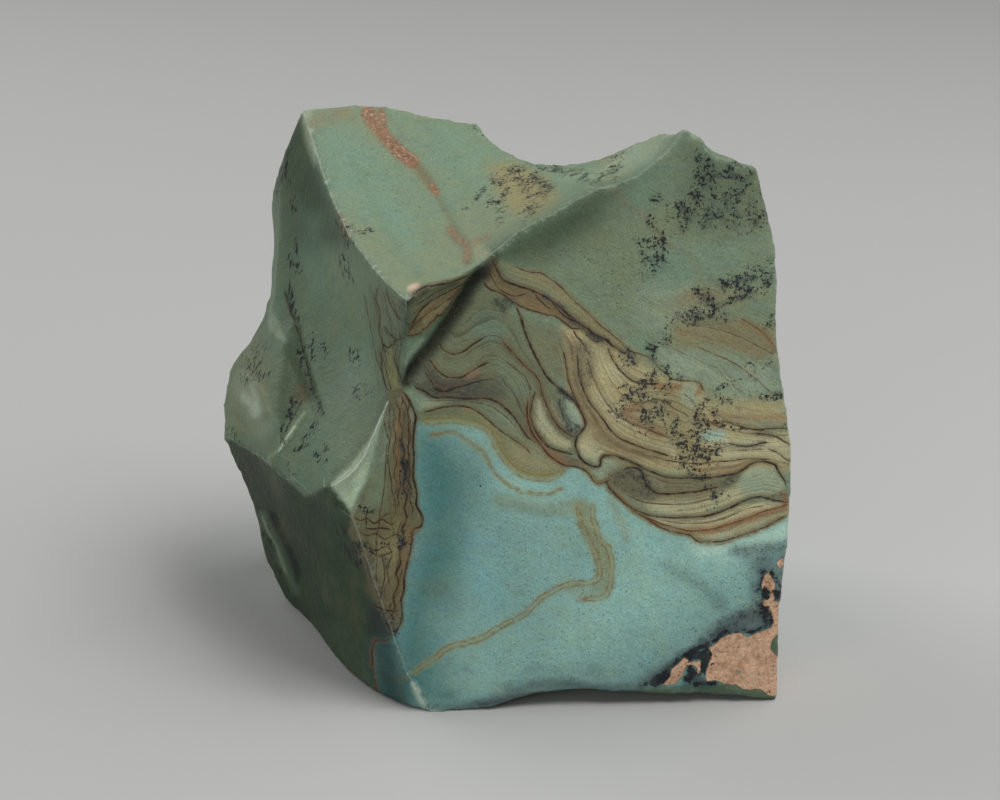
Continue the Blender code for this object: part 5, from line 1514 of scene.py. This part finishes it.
    # The orange-pink crust with its black seams.
    rough_edge = finish.noise(spot, 1.1, 4.0, 0.7) - 0.5
    soot = (rims + rough_edge * 1.7).step(-0.12, 0.10)
    haze = (rims + rough_edge * 1.6).step(-0.85, 0.0)
    crusted = (crust + rough_edge * 0.5).step(-0.05, 0.05)
    pitted = finish.noise(spot, 1.5, 4.0, 0.7)
    flakes = finish.noise(spot, 0.65, 3.0, 0.6)
    crust_tone = finish.mix(pitted.step(0.46, 0.62), ORANGE_PINK, shade(244, 206, 176))
    crust_tone = finish.mix(flakes.step(0.50, 0.36) * 0.45, crust_tone, shade(184, 130, 100))
    crust_tone = finish.mix(pitted.step(0.41, 0.32) * 0.85, crust_tone, shade(112, 74, 54))
    tone = finish.mix(haze * 0.5, tone, SLATE)
    tone = finish.mix(crusted, tone, crust_tone)
    tone = finish.mix(soot * 0.95, tone, finish.mix(flakes.step(0.42, 0.66) * 0.55, INK, SLATE))

    # Bruised ridges, with painted highlights along some of them.
    chipped = finish.noise(spot, 0.9, 4.0, 0.7)
    thin = 1 - (abs(across) - 0.10).step(-0.10, 0.16)
    broad = (1 - abs(across).step(0.2, 1.1)) * chipped.step(0.53, 0.62)
    bruised_and_lit = bruise_and_highlight * (thin * chipped.step(0.32, 0.55)).most(broad * 0.7) * (1 - crusted)
    tone = finish.mix(bruised_and_lit * 0.6, tone, BRUISE_AND_HIGHLIGHT)

    finish.join(finish.shader.inputs["Base Color"], tone)
    waxy = 0.48 + (grain - 0.5) * 0.25 + crusted * 0.34 + bruised_and_lit * 0.15 + soot * 0.15
    finish.join(finish.shader.inputs["Roughness"], waxy)
    finish.join(finish.shader.inputs["Specular IOR Level"], 0.25)
    height = grain * 0.5 + fine * 0.2 + crusted * pitted * 2.5 + finish.noise(spot, 0.7, 3.0, 0.55) * 0.9
    bump = finish.node("ShaderNodeBump", {}, {"Strength": 0.9, "Distance": 0.0003, "Height": height}, "Normal")
    finish.join(finish.shader.inputs["Normal"], bump)
    return finish.material


skin.materials.append(make_jasper())
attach(stone, "root")
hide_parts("stone")


# The studio: a pale floor, a soft key light from the upper right, and a weak fill.


def make_floor():
    mesh = bpy.data.meshes.new("floor")
    work = bmesh.new()
    bmesh.ops.create_grid(work, x_segments=1, y_segments=1, size=6.0)
    work.to_mesh(mesh)
    work.free()
    floor = bpy.data.objects.new("floor", mesh)
    bpy.context.scene.collection.objects.link(floor)
    finish = Finish("pale_floor")
    finish.join(finish.shader.inputs["Base Color"], (0.50, 0.50, 0.49))
    finish.join(finish.shader.inputs["Roughness"], 0.85)
    mesh.materials.append(finish.material)


def add_light(name, place, size, power, colour=(1.0, 1.0, 1.0)):
    light = bpy.data.lights.new(name, "AREA")
    light.size = size
    light.energy = power
    light.color = colour
    lamp = bpy.data.objects.new(name, light)
    lamp.location = place
    aim = Vector((0.0, 0.0, 0.04)) - Vector(place)
    lamp.rotation_mode = "QUATERNION"
    lamp.rotation_quaternion = aim.to_track_quat("-Z", "Y")
    bpy.context.scene.collection.objects.link(lamp)


def add_camera():
    camera = bpy.data.cameras.new("camera")
    camera.lens = LENS
    camera.sensor_width = SENSOR
    camera.clip_start = 0.01
    camera.clip_end = 20.0
    holder = bpy.data.objects.new("camera", camera)
    holder.location = EYE
    holder.rotation_mode = "QUATERNION"
    holder.rotation_quaternion = (-Vector(BACK)).to_track_quat("-Z", "Y")
    bpy.context.scene.collection.objects.link(holder)
    bpy.context.scene.camera = holder


make_floor()
add_light("key", (0.35, -0.20, 0.73), 0.45, 3.6, (1.0, 0.99, 0.96))
add_light("back_left", (-0.50, 0.42, 0.50), 0.50, 2.3, (1.0, 1.0, 0.98))
add_light("back_right", (0.35, 0.20, 0.73), 0.50, 2.2, (0.98, 0.99, 1.0))
add_light("fill", (-0.33, -0.71, 0.21), 0.50, 1.6, (0.96, 0.98, 1.0))
world = bpy.data.worlds.new("studio")
bpy.context.scene.world = world
world.use_nodes = True
world.node_tree.nodes["Background"].inputs["Color"].default_value = (0.75, 0.77, 0.80, 1.0)
world.node_tree.nodes["Background"].inputs["Strength"].default_value = 0.10
bpy.context.scene.view_settings.view_transform = "Standard"
add_camera()
